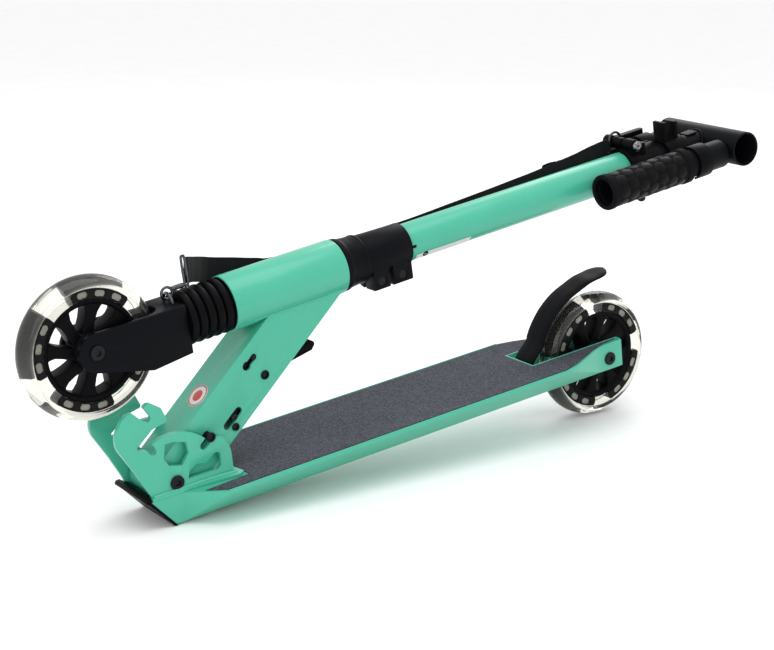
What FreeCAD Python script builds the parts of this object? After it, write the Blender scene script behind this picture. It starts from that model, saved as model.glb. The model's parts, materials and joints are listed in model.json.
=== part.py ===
import FreeCAD, Part
import math
import os
import re
import Sketcher

# Folding kick scooter, shown folded and standing on its rear wheel and the nose of its deck.
# Millimetres.  +X is forward, +Y is the rider's left, +Z is up.
# Every sub-part is drawn in one of three working frames and then placed:
#   deck frame    origin on the rear axle, X along the deck
#   neck frame    origin on the folding pivot, -X up along the neck, Z out of its front face
#   column frame  origin on the steering axis, +X towards the front wheel, Z away from the deck

SIZES = {
    # wheels
    "wheel_diameter": 125.0, "tyre_width": 24.0, "tread_round": 14.5, "tyre_bore": 88.0,
    "core_diameter": 105.0, "core_width": 22.0, "rim_bore": 76.0, "rim_width": 21.0,
    "boss_radius": 19.0, "spoke_count": 8.0, "spoke_width": 10.0, "spoke_depth": 18.0,
    "bearing_outer": 22.0, "bearing_width": 7.0, "axle_diameter": 8.0, "running_gap": 0.05,
    # deck
    "deck_top": 15.8, "deck_bottom": -11.5, "deck_half_top": 57.0, "deck_half_bottom": 27.6,
    "deck_lip": 3.0, "deck_rear": -16.0, "deck_front": 512.0, "nose_bottom": 490.5,
    "cutout_front": 89.9, "cutout_half": 20.3, "arm_half": 28.0, "nose_half": 29.5,
    "taper_rear": 75.0, "taper_rear_end": 7.0, "taper_front": 453.0, "taper_front_end": 482.0,
    "deck_wall": 3.0, "channel_start": 96.0, "channel_end": 446.0, "tape_thick": 0.8,
    "cap_thick": 3.0, "cap_lip": 4.5,
    # hinge bracket and neck
    "pivot_x": 484.6, "pivot_z": 25.2, "plate_inner": 21.5, "plate_thick": 5.0,
    "plate_foot": 3.0, "neck_angle": 39.2, "neck_front": 21.0, "neck_back": 26.0, "neck_half_width": 19.5,
    "neck_wall": 2.5, "neck_top": 150.0, "pivot_radius": 4.0,
    "latch_radius": 38.5, "latch_travel": 9.6, "latch_pin": 3.0, "seat_radius": 3.4,
    "plate_arc": 44.5, "lever_pivot": 120.8, "lever_low": -11.9,
    # steering column
    "base_x": 400.0, "base_z": 159.3, "column_angle": 2.2,
    "head_radius": 25.1, "head_bore": 22.5, "head_low": 5.0, "head_high": 111.0,
    "steerer_radius": 15.8, "steerer_bore": 12.6, "steerer_low": 36.0, "steerer_high": 176.0,
    "tube_radius": 17.45, "tube_bore": 15.9, "tube_low": 136.6, "tube_high": 462.0,
    "cone_high": 136.0, "collar_radius": 20.2, "collar_high": 184.0,
    "fork_axle": 136.3, "fork_rise": 2.0, "fork_crown": 50.0, "fork_half": 20.0,
    "fork_gap": 14.3, "fork_slot": 70.0, "fork_top": 17.5, "fork_end": 16.0,
    "stem_radius": 12.5,
    # handlebar
    "inner_radius": 14.0, "inner_bore": 12.2, "inner_low": 205.0, "cross_place": 567.0,
    "cross_radius": 17.0, "cross_bore": 15.0, "cross_half": 56.5,
    "grip_side": 39.0, "grip_drop": -2.0, "grip_radius": 17.0, "grip_open": 395.5,
    "grip_collar": 500.0, "grip_end": 548.0, "clip_low": 504.0, "clip_high": 529.0,
    "lock_radius": 20.8, "lock_high": 492.0, "lock_low": 452.0, "lock_bolt": 461.0, "lock_rise": 24.0,
    # rear brake
    "brake_x": 84.0, "brake_z": 3.0, "brake_radius": 77.5, "brake_thick": 3.2,
    "brake_half": 13.5,
}

doc = FreeCAD.newDocument("kick_scooter")
sheet = doc.addObject("Spreadsheet::Sheet", "sizes")
for row, (alias, value) in enumerate(SIZES.items(), start=1):
    sheet.set("A%d" % row, alias.replace("_", " "))
    sheet.set("B%d" % row, str(value))
    sheet.setAlias("B%d" % row, alias)
doc.recompute()

X_AXIS = FreeCAD.Vector(1, 0, 0)
Y_AXIS = FreeCAD.Vector(0, 1, 0)
Z_AXIS = FreeCAD.Vector(0, 0, 1)
TURNS = {
    "X": FreeCAD.Rotation(Y_AXIS, 90),
    "Y": FreeCAD.Rotation(X_AXIS, -90),
    "Z": FreeCAD.Rotation(),
}
PLANES = {"XY": "XY_Plane", "XZ": "XZ_Plane", "YZ": "YZ_Plane"}
pieces = {}


# ---- small helpers -------------------------------------------------------------------------

def size(alias):
    """The number held in one cell of the sheet."""
    return float(sheet.get(alias))


def formula(text):
    """Write a size formula with its cell names addressed to the sheet."""
    def address(match):
        word = match.group(0)
        return "sizes." + word if word in SIZES else word
    return re.sub(r"[a-z_]+", address, text)


def number(text):
    """The value of a size formula."""
    result = sheet.evalExpression(formula(text))
    return float(getattr(result, "Value", result))


def bind(obj, prop, text):
    """Bind a property of an object to a formula on the sheet."""
    obj.setExpression(prop, formula(text))


def place(obj, at, turn=None):
    """Set an object's place by three formulas, with a fixed turn."""
    if turn is not None:
        obj.Placement = FreeCAD.Placement(FreeCAD.Vector(), turn)
    for letter, text in zip("xyz", at):
        bind(obj, "Placement.Base." + letter, text)


def rod(name, axis, radius, start, end, at=("0", "0")):
    """A cylinder along one axis; `at` gives its other two coordinates in order."""
    obj = doc.addObject("Part::Cylinder", name)
    bind(obj, "Radius", radius)
    bind(obj, "Height", "(%s) - (%s)" % (end, start))
    where = list(at)
    where.insert("XYZ".index(axis), start)
    place(obj, where, TURNS[axis])
    return obj


def ring(name, axis, outer, inner, start, end, at=("0", "0")):
    """A tube along one axis."""
    body = rod(name + "_body", axis, outer, start, end, at)
    bore = rod(name + "_bore", axis, inner, "(%s) - 1" % start, "(%s) + 1" % end, at)
    return cut(name, body, bore)


def box(name, low, high):
    """A block between two corners."""
    obj = doc.addObject("Part::Box", name)
    for prop, a, b in zip(("Length", "Width", "Height"), low, high):
        bind(obj, prop, "(%s) - (%s)" % (b, a))
    place(obj, low)
    return obj


def fuse(name, *parts):
    """One solid from several that meet."""
    obj = doc.addObject("Part::MultiFuse", name)
    obj.Shapes = list(parts)
    obj.Refine = True
    return obj


def cut(name, base, *tools):
    """A solid less its tools."""
    tool = tools[0] if len(tools) == 1 else fuse(name + "_tools", *tools)
    obj = doc.addObject("Part::Cut", name)
    obj.Base = base
    obj.Tool = tool
    return obj


def group(name, *parts):
    """Separate solids that share one name."""
    obj = doc.addObject("Part::Compound", name)
    obj.Links = list(parts)
    return obj


def turned(name, source, axis, angle, centre=(0, 0, 0)):
    """A solid turned about a line through `centre`."""
    obj = doc.addObject("Part::Compound", name)
    obj.Links = [source]
    spin = FreeCAD.Rotation(axis, angle)
    middle = FreeCAD.Vector(*centre)
    obj.Placement = FreeCAD.Placement(middle - spin.multVec(middle), spin)
    return obj


def fix_point(sketch, geometry, end, at):
    """Tie one sketch point to two formulas."""
    kinds = (("DistanceX", -2), ("DistanceY", -1))
    for text, (kind, axis) in zip(at, kinds):
        value = number(text)
        if abs(value) < 1e-9:
            sketch.addConstraint(Sketcher.Constraint("PointOnObject", geometry, end, axis))
            continue
        index = sketch.addConstraint(Sketcher.Constraint(kind, -1, 1, geometry, end, value))
        if re.search("[a-z]", text):
            sketch.setExpression("Constraints[%d]" % index, formula(text))


def draw(sketch, outline):
    """Close an outline; a point with four formulas ends an arc through the last two."""
    ends = []
    for index, point in enumerate(outline):
        start = FreeCAD.Vector(*[number(text) for text in outline[index - 1][:2]])
        stop = FreeCAD.Vector(*[number(text) for text in point[:2]])
        if len(point) == 2:
            ends.append((sketch.addGeometry(Part.LineSegment(start, stop)), 1, 2))
            continue
        via = FreeCAD.Vector(*[number(text) for text in point[2:]])
        leftward = (via - start).cross(stop - via).z > 0
        first, last = (start, stop) if leftward else (stop, start)
        arc = sketch.addGeometry(Part.Arc(first, via, last))
        ends.append((arc, 1, 2) if leftward else (arc, 2, 1))
        mark = sketch.addGeometry(Part.Point(via), True)
        sketch.addConstraint(Sketcher.Constraint("PointOnObject", mark, 1, arc))
        fix_point(sketch, mark, 1, point[2:])
    for index, point in enumerate(outline):
        geometry, _, end = ends[index]
        following, start, _ = ends[(index + 1) % len(ends)]
        sketch.addConstraint(Sketcher.Constraint("Coincident", geometry, end, following, start))
        fix_point(sketch, geometry, end, point[:2])


def circle(sketch, centre, radius):
    """A circle in a sketch, its centre and radius given by formulas."""
    middle = FreeCAD.Vector(*[number(text) for text in centre])
    geometry = sketch.addGeometry(Part.Circle(middle, Z_AXIS, number(radius)))
    fix_point(sketch, geometry, 3, centre)
    index = sketch.addConstraint(Sketcher.Constraint("Radius", geometry, number(radius)))
    if re.search("[a-z]", radius):
        sketch.setExpression("Constraints[%d]" % index, formula(radius))


def sketch_on(body, name, plane, offset, outlines=(), circles=()):
    """A sketch on one of the body's own origin planes, moved along the plane's normal."""
    sketch = body.newObject("Sketcher::SketchObject", name)
    role = PLANES[plane]
    origin_plane = [item for item in body.Origin.OriginFeatures if item.Role == role][0]
    sketch.AttachmentSupport = [(origin_plane, "")]
    sketch.MapMode = "FlatFace"
    bind(sketch, "AttachmentOffset.Base.z", offset)
    for outline in outlines:
        draw(sketch, outline)
    for centre, radius in circles:
        circle(sketch, centre, radius)
    return sketch


def body_named(name):
    return doc.addObject("PartDesign::Body", name)


def pad(body, name, plane, length, outlines=(), circles=(), offset="0", both=False):
    """Add material to a body from a sketch."""
    profile = sketch_on(body, name + "_sketch", plane, offset, outlines, circles)
    feature = body.newObject("PartDesign::Pad", name)
    feature.Profile = profile
    feature.Midplane = both
    bind(feature, "Length", length)
    return feature


def pocket(body, name, plane, length, outlines=(), circles=(), offset="0", both=False,
           onward=False):
    """Take material from a body; `onward` cuts along the plane's normal."""
    profile = sketch_on(body, name + "_sketch", plane, offset, outlines, circles)
    feature = body.newObject("PartDesign::Pocket", name)
    feature.Profile = profile
    feature.Midplane = both
    feature.Reversed = onward
    bind(feature, "Length", length)
    return feature


def revolve(body, name, plane, outline, axis="H_Axis"):
    """Turn an outline about one axis of its sketch."""
    profile = sketch_on(body, name + "_sketch", plane, "0", [outline])
    feature = body.newObject("PartDesign::Revolution", name)
    feature.Profile = profile
    feature.ReferenceAxis = (profile, [axis])
    feature.Angle = 360
    return feature


def slot_outline(start, end, middle, half):
    """A round-ended slot along the first sketch axis."""
    return [
        (end, "%s - %s" % (middle, half)),
        (end, "%s + %s" % (middle, half), "%s + %s" % (end, half), middle),
        (start, "%s + %s" % (middle, half)),
        (start, "%s - %s" % (middle, half), "%s - %s" % (start, half), middle),
    ]


def rectangle(low_x, low_y, high_x, high_y):
    return [(low_x, low_y), (high_x, low_y), (high_x, high_y), (low_x, high_y)]


def add(label, obj, frame):
    """Register a finished sub-part, under its own name, in its working frame."""
    if obj.ExpressionEngine and not obj.isDerivedFrom("Part::Compound"):
        obj = group(label + "_alone", obj)
    obj.Label = label
    obj.Placement = frame.multiply(obj.Placement)
    pieces[label] = obj


# ---- the frames ----------------------------------------------------------------------------

def stand_placement():
    """Tip the deck nose down until the wheel and the nose both touch the floor."""
    radius = size("wheel_diameter") / 2
    nose_x = size("nose_bottom") + size("cap_thick")
    nose_z = size("deck_bottom")
    tilt = math.asin(radius / math.hypot(nose_x, nose_z)) - math.atan2(-nose_z, nose_x)
    turn = FreeCAD.Rotation(Y_AXIS, math.degrees(tilt))
    return FreeCAD.Placement(FreeCAD.Vector(0, 0, radius), turn)


def frame_at(base_x, base_z, angle):
    turn = FreeCAD.Rotation(Y_AXIS, size(angle))
    return FreeCAD.Placement(FreeCAD.Vector(size(base_x), 0, size(base_z)), turn)


def wheel_placement(frame, x, z):
    return frame.multiply(FreeCAD.Placement(FreeCAD.Vector(x, 0, z), FreeCAD.Rotation()))


# ---- wheels --------------------------------------------------------------------------------

def tyre(name):
    """Clear rolling ring with a groove inside it for the core."""
    body = body_named(name)
    half = "tyre_width / 2"
    radius = "wheel_diameter / 2"
    shoulder = "%s - tread_round + sqrt(tread_round ^ 2 - (%s) ^ 2)" % (radius, half)
    revolve(body, name + "_turn", "YZ", [
        ("-" + half, "tyre_bore / 2"),
        ("-core_width / 2", "tyre_bore / 2"),
        ("-core_width / 2", "core_diameter / 2"),
        ("core_width / 2", "core_diameter / 2"),
        ("core_width / 2", "tyre_bore / 2"),
        (half, "tyre_bore / 2"),
        (half, shoulder),
        ("-" + half, shoulder, "0", radius),
    ])
    return body


def core_ring(name):
    """Dark ring inside the tyre with round windows in four groups of three."""
    band = ring(name + "_band", "Y", "core_diameter / 2", "tyre_bore / 2",
                "-core_width / 2", "core_width / 2")
    windows = []
    for quarter in range(4):
        for step in (-1, 0, 1):
            angle = quarter * 90 + step * 21
            hole = rod("%s_window_%d_%d" % (name, quarter, step + 1), "Y", "3",
                       "-tyre_width / 2", "tyre_width / 2", ("0", "48.2"))
            windows.append(turned(hole.Name + "_turned", hole, Y_AXIS, angle))
    return cut(name, band, *windows)


def hub(name):
    """Rim, boss and spokes in one moulding."""
    rim = ring(name + "_rim", "Y", "tyre_bore / 2", "rim_bore / 2",
               "-rim_width / 2", "rim_width / 2")
    boss = rod(name + "_boss", "Y", "boss_radius", "-tyre_width / 2 + 0.5", "tyre_width / 2 - 0.5")
    spoke = box(name + "_spoke", ("-spoke_width / 2", "-spoke_depth / 2", "boss_radius - 2"),
                ("spoke_width / 2", "spoke_depth / 2", "rim_bore / 2 + 1"))
    spokes = [turned("%s_spoke_%d" % (name, index), spoke, Y_AXIS, index * 360 / 8)
              for index in range(int(size("spoke_count")))]
    solid = fuse(name + "_solid", rim, boss, *spokes)
    middle = rod(name + "_middle", "Y", "bearing_outer / 2 - 2", "-tyre_width", "tyre_width")
    seats = [rod("%s_seat_%s" % (name, side), "Y", "bearing_outer / 2", low, high)
             for side, low, high in (
                 ("left", "tyre_width / 2 - 0.5 - bearing_width", "tyre_width"),
                 ("right", "-tyre_width", "bearing_width + 0.5 - tyre_width / 2"))]
    return cut(name, solid, middle, *seats)


def bearings(name):
    """The pair of ball bearings in the hub."""
    inner = "axle_diameter / 2 + running_gap"
    left = ring(name + "_left", "Y", "bearing_outer / 2", inner,
                "tyre_width / 2 - 0.5 - bearing_width", "tyre_width / 2 - 0.5")
    right = ring(name + "_right", "Y", "bearing_outer / 2", inner,
                 "0.5 - tyre_width / 2", "bearing_width + 0.5 - tyre_width / 2")
    return group(name, left, right)


def bearing_spacer(name):
    """The sleeve between the inner races."""
    return ring(name, "Y", "axle_diameter / 2 + 2", "axle_diameter / 2 + running_gap",
                "bearing_width + 0.5 - tyre_width / 2", "tyre_width / 2 - 0.5 - bearing_width")


def add_wheel(end, frame):
    add(end + "_tyre", tyre(end + "_tyre"), frame)
    add(end + "_core_ring", core_ring(end + "_core"), frame)
    add(end + "_hub", hub(end + "_hub"), frame)
    add(end + "_bearings", bearings(end + "_bearing"), frame)
    add(end + "_bearing_spacer", bearing_spacer(end + "_sleeve"), frame)


def axle_bolt(name, half):
    """A through bolt with a socket head at each end of its sleeve."""
    shaft = rod(name + "_shaft", "Y", "axle_diameter / 2", "-(%s)" % half, half)
    heads = [rod("%s_head_%s" % (name, side), "Y", "6.3", low, high)
             for side, low, high in (("left", half, half + " + 1.8"),
                                     ("right", "-(%s) - 1.8" % half, "-(%s)" % half))]
    solid = fuse(name + "_solid", shaft, *heads)
    socket = doc.addObject("Part::Prism", name + "_socket")
    socket.Polygon = 6
    bind(socket, "Circumradius", "3")
    bind(socket, "Height", "4 + 2 * (%s)" % half)
    place(socket, ("0", "%s - 0.5" % half, "0"), TURNS["Y"])
    return cut(name, solid, socket)


def side_spacers(name, inner, outer):
    """The two washers that keep a wheel in the middle of its fork."""
    bore = "axle_diameter / 2"
    left = ring(name + "_left", "Y", "6.5", bore, inner, outer)
    right = ring(name + "_right", "Y", "6.5", bore, "-(%s)" % outer, "-(%s)" % inner)
    return group(name, left, right)


# ---- deck ----------------------------------------------------------------------------------

def deck():
    body = body_named("deck_body")
    length = "deck_front - deck_rear"
    lip = "deck_top - deck_lip"
    pad(body, "extrusion", "YZ", length, [[
        ("deck_half_top", "deck_top"),
        ("-deck_half_top", "deck_top"),
        ("-deck_half_top", lip),
        ("-deck_half_bottom", "deck_bottom"),
        ("deck_half_bottom", "deck_bottom"),
        ("deck_half_top", lip),
    ]], offset="deck_rear")
    pocket(body, "wheel_cutout", "XY", "60", [
        rectangle("deck_rear - 5", "-cutout_half", "cutout_front", "cutout_half")],
        offset="20")
    for side, sign in (("left", ""), ("right", "-")):
        beyond = sign + "70"
        pocket(body, "rear_taper_" + side, "XY", "60", [[
            ("deck_rear - 5", sign + "arm_half"),
            ("taper_rear_end", sign + "arm_half"),
            ("21", sign + "32.6", "14.2", sign + "29.8"),
            ("56", sign + "50.3"),
            ("taper_rear", sign + "deck_half_top", "66", sign + "54.4"),
            ("taper_rear", beyond),
            ("deck_rear - 5", beyond)]], offset="20")
        pocket(body, "front_taper_" + side, "XY", "60", [[
            ("deck_front + 5", sign + "nose_half"),
            ("taper_front_end", sign + "nose_half"),
            ("taper_front", sign + "deck_half_top"),
            ("taper_front", beyond),
            ("deck_front + 5", beyond)]], offset="20")
        pocket(body, "side_channel_" + side, "YZ", "channel_end - channel_start", [[
            (sign + "22.5", "deck_top - deck_wall"),
            (sign + "22.5", "deck_bottom + deck_wall"),
            (sign + "26", "deck_bottom + deck_wall"),
            (sign + "47.5", "deck_top - deck_wall")]], offset="channel_start", onward=True)
    pocket(body, "nose_slant", "XZ", "140", [[
        ("deck_front", "deck_top"),
        ("nose_bottom", "deck_bottom"),
        ("nose_bottom", "deck_bottom - 4"),
        ("deck_front + 5", "deck_bottom - 4"),
        ("deck_front + 5", "deck_top")]], both=True)
    pocket(body, "middle_channel", "YZ", "channel_end - cutout_front + 2", [
        rectangle("-18", "deck_bottom + deck_wall", "18", "deck_top - deck_wall")],
        offset="cutout_front - 2", onward=True)
    neck_well = fuse("neck_well", rod(
        "well_round", "Y", "neck_back + 0.7", "-neck_half_width - 0.6",
        "neck_half_width + 0.6", ("pivot_x", "pivot_z")), well_ramp())
    axle_hole = rod("deck_axle_hole", "Y", "axle_diameter / 2", "-40", "40")
    brake_hole = rod("deck_brake_hole", "Y", "2.5", "-26", "26", ("brake_x", "brake_z"))
    return cut("deck_solid", body, neck_well, axle_hole, brake_hole)


def well_ramp():
    """The room under the folded neck."""
    ramp = box("well_ramp", ("-neck_top", "-neck_half_width - 0.6", "-neck_back - 0.7"),
               ("0", "neck_half_width + 0.6", "0"))
    carrier = doc.addObject("Part::Compound", "well_ramp_placed")
    carrier.Links = [ramp]
    carrier.Placement = NECK_LOCAL
    return carrier


def grip_tape():
    body = body_named("grip_tape_body")
    edge = []
    half = [
        ("421", "0"), ("421", "38.5"), ("466", "41"), ("taper_front - 2", "deck_half_top - 3"),
        ("taper_rear + 1", "deck_half_top - 3"), ("57", "48"), ("21", "30.6"),
        ("taper_rear_end", "arm_half - 2"),
        ("deck_rear + 4", "23"), ("deck_rear + 4", "cutout_half + 1.6"),
        ("cutout_front + 2", "cutout_half + 1.6"), ("cutout_front + 2", "0"),
    ]
    for x, y in half[1:-1]:
        edge.append((x, y))
    for x, y in reversed(half[1:-1]):
        edge.append((x, "-(%s)" % y))
    pad(body, "tape_sheet", "XY", "tape_thick", [edge], offset="deck_top")
    return body


def nose_cap():
    body = body_named("nose_cap_body")
    pad(body, "cap_face", "XZ", "2 * nose_half", [[
        ("deck_front", "deck_top"),
        ("deck_front - 2.4", "deck_top"),
        ("deck_front - 2.4", "deck_top + cap_lip"),
        ("deck_front + 3", "deck_top + cap_lip"),
        ("deck_front + 5", "deck_top + 1", "deck_front + 4.7", "deck_top + 3"),
        ("deck_front + 0.6", "deck_top - 3"),
        ("nose_bottom + cap_thick", "deck_bottom"),
        ("nose_bottom", "deck_bottom")]], both=True)
    pocket(body, "cap_relief", "XY", "cap_lip + 1", [
        rectangle("deck_front - 6", "plate_inner - 0.5", "deck_front - 0.1", "nose_half + 2"),
        rectangle("deck_front - 6", "-nose_half - 2", "deck_front - 0.1", "0.5 - plate_inner")],
        offset="deck_top + cap_lip + 1")
    return body


PLATE_OUTLINE = [
    ("23.4", "-9.4"), ("37.4", "20.8"), ("47.9", "40.8"),
    ("44.9", "65.3", "50.6", "53.5"), ("32", "73", "39.5", "71.5"), ("26.9", "67.3"),
    ("23", "63.5"), ("15.9", "65.5", "18.4", "61.2"), ("21", "74.2"),
    ("12.8", "75.6", "17.2", "77"), ("5.2", "70"), ("1.4", "59.8"),
    ("3.9", "56", "1.6", "57"), ("16", "53.6"), ("30.4", "42.6"),
    ("29", "38.6", "32", "40.2"),
]


def hinge_plate(side):
    """Side plate of the folding bracket, with its three notches and two windows."""
    name = "hinge_plate_" + side
    body = body_named(name + "_body")
    fold = math.radians(size("neck_angle"))
    opened = math.radians(180 - size("neck_angle") - FOLD_RANGE)
    seat = size("latch_radius")
    wide = size("seat_radius")
    arc = size("plate_arc")

    def spot(angle, along, aside):
        """A point `along` a line at `angle` from the pivot and `aside` to its left."""
        x = along * math.cos(angle) - aside * math.sin(angle)
        z = along * math.sin(angle) + aside * math.cos(angle)
        return ("%.4f" % x, "%.4f" % z)

    folded = math.pi - fold
    reach = math.sqrt(arc ** 2 - wide ** 2)
    outline = list(PLATE_OUTLINE)
    outline += [spot(opened, seat + 4.5, -wide), spot(opened, seat, -wide)]
    outline += [spot(opened, seat, wide) + spot(opened, seat - wide, 0)]
    outline += [spot(opened, reach, wide)]
    outline += [spot(folded, reach, -wide) + spot((folded + opened) / 2, arc, 0)]
    outline += [spot(folded, seat, -wide)]
    outline += [spot(folded, seat, wide) + spot(folded, seat - wide, 0)]
    outline += [spot(folded, seat + 9, wide)]
    outline += [("-51.6", "21.8", "-44.5", "28.6"), ("-55.5", "8.1", "-54.6", "15.5"),
                ("-55.5", "-9.4")]
    offset = "-plate_inner - plate_thick" if side == "left" else "plate_inner"
    pad(body, name + "_sheet", "XZ", "plate_thick", [outline], offset=offset)
    windows = [
        [("6.4", "37"), ("-1.5", "36.8"), ("-13.8", "32.9"), ("-14.8", "22.6"),
         ("-7.7", "13.4"), ("4.7", "16.6"), ("9.1", "24.2")],
        [("-11.4", "-0.2"), ("-13.2", "6.2"), ("-20.4", "10.8"), ("-29.9", "8.5"),
         ("-37.2", "13.9"), ("-44.5", "12.3", "-42", "14.6"), ("-44", "4.5"),
         ("-38", "-0.7", "-42.4", "0.2")],
    ]
    pocket(body, name + "_windows", "XZ", "80", windows, [(("0", "0"), "pivot_radius")],
           both=True)
    sign = "" if side == "left" else "-"
    pad(body, name + "_foot", "XY", "plate_foot", [[
        ("26", sign + "plate_inner"), ("26", sign + "29.5"), ("-10", sign + "30"),
        ("-57", sign + "37"), ("-61.5", sign + "33"), ("-60", sign + "plate_inner")]],
        offset="deck_top - pivot_z")
    return body


def pivot_bolt():
    half = "plate_inner + plate_thick"
    shaft = rod("pivot_shaft", "Y", "pivot_radius", "-(%s)" % half, half)
    head = rod("pivot_head", "Y", "6", half, half + " + 2.2")
    nut = rod("pivot_nut", "Y", "6", "-(%s) - 3" % half, "-(%s)" % half)
    return fuse("pivot_bolt_solid", shaft, head, nut)


# ---- neck ----------------------------------------------------------------------------------

def neck():
    body = body_named("neck_body")
    pad(body, "neck_box", "XZ", "2 * neck_half_width", [[
        ("-240", "neck_front"), ("0", "neck_front"),
        ("0", "-neck_back", "(neck_front + neck_back) / 2", "(neck_front - neck_back) / 2"),
        ("-240", "-neck_back")]], both=True)
    pocket(body, "neck_hollow", "XZ", "2 * (neck_half_width - neck_wall)", [
        rectangle("-241", "neck_wall - neck_back", "-16", "neck_front - neck_wall")], both=True)
    latched = "-latch_radius"
    released = "-latch_radius - latch_travel"
    lever_low = "latch_travel / 2 - lever_pivot"
    lever_high = "-latch_travel / 2 - lever_pivot"
    pocket(body, "neck_slots", "XZ", "60", [
        slot_outline(released, latched, "0", "(latch_pin + 0.4)"),
        slot_outline("-81.5", "-65.5", "-12", "3.7"),
    ], both=True)
    pocket(body, "guide_slot", "XZ", "60", [
        slot_outline(lever_high + " - 0.6", lever_low, "8.5", "2.7")], both=True)
    pocket(body, "guide_entry", "XZ", "60", circles=[((lever_low, "8.5"), "4.2")], both=True)
    pocket(body, "lever_window", "YZ", "82", [
        rectangle("-11", "-neck_back - 2", "11", "-neck_back + 6")],
        offset="-200", onward=True)
    above = column_block("neck_trim", "head_radius", "-200", "60")
    bores = [
        rod("neck_pivot_bore", "Y", "8", "-30", "30"),
        rod("neck_lever_bore", "Y", "3", "-30", "30", ("-lever_pivot", "lever_low")),
        rod("neck_screw_bore", "Y", "2.5", "-30", "30", ("-69.5", "-19.3")),
    ]
    return cut("neck_solid", body, above, *bores)


def column_block(name, radius, start, end):
    """Everything on the far side of the head tube's wall, seen from the neck."""
    tube = rod(name + "_tube", "X", radius, start, end)
    slab = box(name + "_slab", (start, "-60", "-10"), (end, "60", "120"))
    block = fuse(name, tube, slab)
    block.Placement = NECK_LOCAL.inverse().multiply(COLUMN_LOCAL)
    return block


def neck_bushes():
    left = ring("bush_left", "Y", "8", "pivot_radius + running_gap", "13", "neck_half_width + 1.6")
    right = ring("bush_right", "Y", "8", "pivot_radius + running_gap",
                 "-neck_half_width - 1.6", "-13")
    return group("neck_bushes_pair", left, right)


def lever_bolt():
    """The bolt that the release lever turns on."""
    half = "neck_half_width"
    at = ("-lever_pivot", "lever_low")
    shaft = rod("lever_bolt_shaft", "Y", "3", "-(%s)" % half, half, at)
    left = rod("lever_bolt_head", "Y", "4.2", half, half + " + 1.5", at)
    right = rod("lever_bolt_nut", "Y", "4.2", "-(%s) - 1.5" % half, "-(%s)" % half, at)
    return fuse("lever_bolt_solid", shaft, left, right)


def neck_screws():
    """A short screw in each side wall."""
    at = ("-69.5", "-19.3")
    made = []
    for side, wall, sign in (("left", "neck_half_width", 1), ("right", "-neck_half_width", -1)):
        inside = "%s - %d" % (wall, sign * 2)
        outside = "%s + %d * 1.4" % (wall, sign)
        low, high = (inside, wall) if sign > 0 else (wall, inside)
        shank = rod("neck_screw_shank_" + side, "Y", "2.5", low, high, at)
        low, high = (wall, outside) if sign > 0 else (outside, wall)
        head = rod("neck_screw_head_" + side, "Y", "3.6", low, high, at)
        made.append(fuse("neck_screw_" + side, shank, head))
    return group("neck_screws_pair", *made)


def head_tube():
    body = body_named("head_tube_body")
    revolve(body, "head_tube_turn", "XZ", [
        ("-head_high", "head_bore"), ("head_low", "head_bore"), ("head_low", "head_radius"),
        ("-head_high", "head_radius")])
    return body


def headset_bearings():
    inner = "steerer_radius + running_gap"
    lower = ring("bearing_lower", "X", "head_bore", inner, "head_low - 8", "head_low")
    upper = ring("bearing_upper", "X", "head_bore", inner, "-head_high", "8 - head_high")
    return group("headset_bearing_pair", lower, upper)


def lock_slider():
    """Two cheeks and a bridge that carry the lock pins inside the neck."""
    body = body_named("lock_slider_body")
    pad(body, "cheeks", "XZ", "30", [[
        ("-42", "-5"), ("-42", "5"), ("-96", "9"), ("-112", "13.5"), ("-133", "13.5"),
        ("-133", "3.5"), ("-104", "3.5"), ("-84", "-4"), ("-84", "-17"), ("-76", "-17"),
        ("-68", "-6")]], both=True)
    pocket(body, "cheek_gap", "XZ", "25", [rectangle("-140", "-20", "-98", "20")], both=True)
    pocket(body, "cheek_gap_low", "XZ", "25", [rectangle("-86", "-20", "-40", "20")], both=True)
    pins = [
        rod("slider_bore_a", "Y", "latch_pin", "-20", "20", ("-latch_radius - latch_travel", "0")),
        rod("slider_bore_b", "Y", "3.2", "-20", "20", ("-75.1", "-12")),
        rod("slider_bore_c", "Y", "2.4", "-20", "20", ("-latch_travel / 2 - lever_pivot", "8.5")),
    ]
    return cut("lock_slider_solid", body, *pins)


def slider_pins():
    """The lock pin with its heads, and the two pins that guide the slider."""
    at = ("-latch_radius - latch_travel", "0")
    half = "plate_inner + plate_thick + 0.4"
    shaft = rod("lock_pin_shaft", "Y", "latch_pin", "-(%s)" % half, half, at)
    left = rod("lock_pin_left", "Y", "4.2", half, half + " + 1.8", at)
    right = rod("lock_pin_right", "Y", "4.2", "-(%s) - 1.8" % half, "-(%s)" % half, at)
    pin = fuse("lock_pin_solid", shaft, left, right)
    lower = rod("guide_pin_lower", "Y", "3.2", "-20.8", "20.8", ("-75.1", "-12"))
    upper = rod("guide_pin_upper", "Y", "2.4", "-20.8", "20.8",
                ("-latch_travel / 2 - lever_pivot", "8.5"))
    return group("slider_pin_set", pin, lower, upper)


def coil(name, radius, wire, pitch, height):
    """A round-wire spring standing on its own Z axis."""
    helix = doc.addObject("Part::Helix", name + "_path")
    bind(helix, "Radius", radius)
    bind(helix, "Pitch", pitch)
    bind(helix, "Height", height)
    profile = doc.addObject("Part::Circle", name + "_wire")
    bind(profile, "Radius", wire)
    place(profile, (radius, "0", "0"), FreeCAD.Rotation(X_AXIS, 90))
    sweep = doc.addObject("Part::Sweep", name)
    sweep.Sections = [profile]
    sweep.Spine = (helix, [])
    sweep.Solid = True
    sweep.Frenet = True
    return sweep


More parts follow.
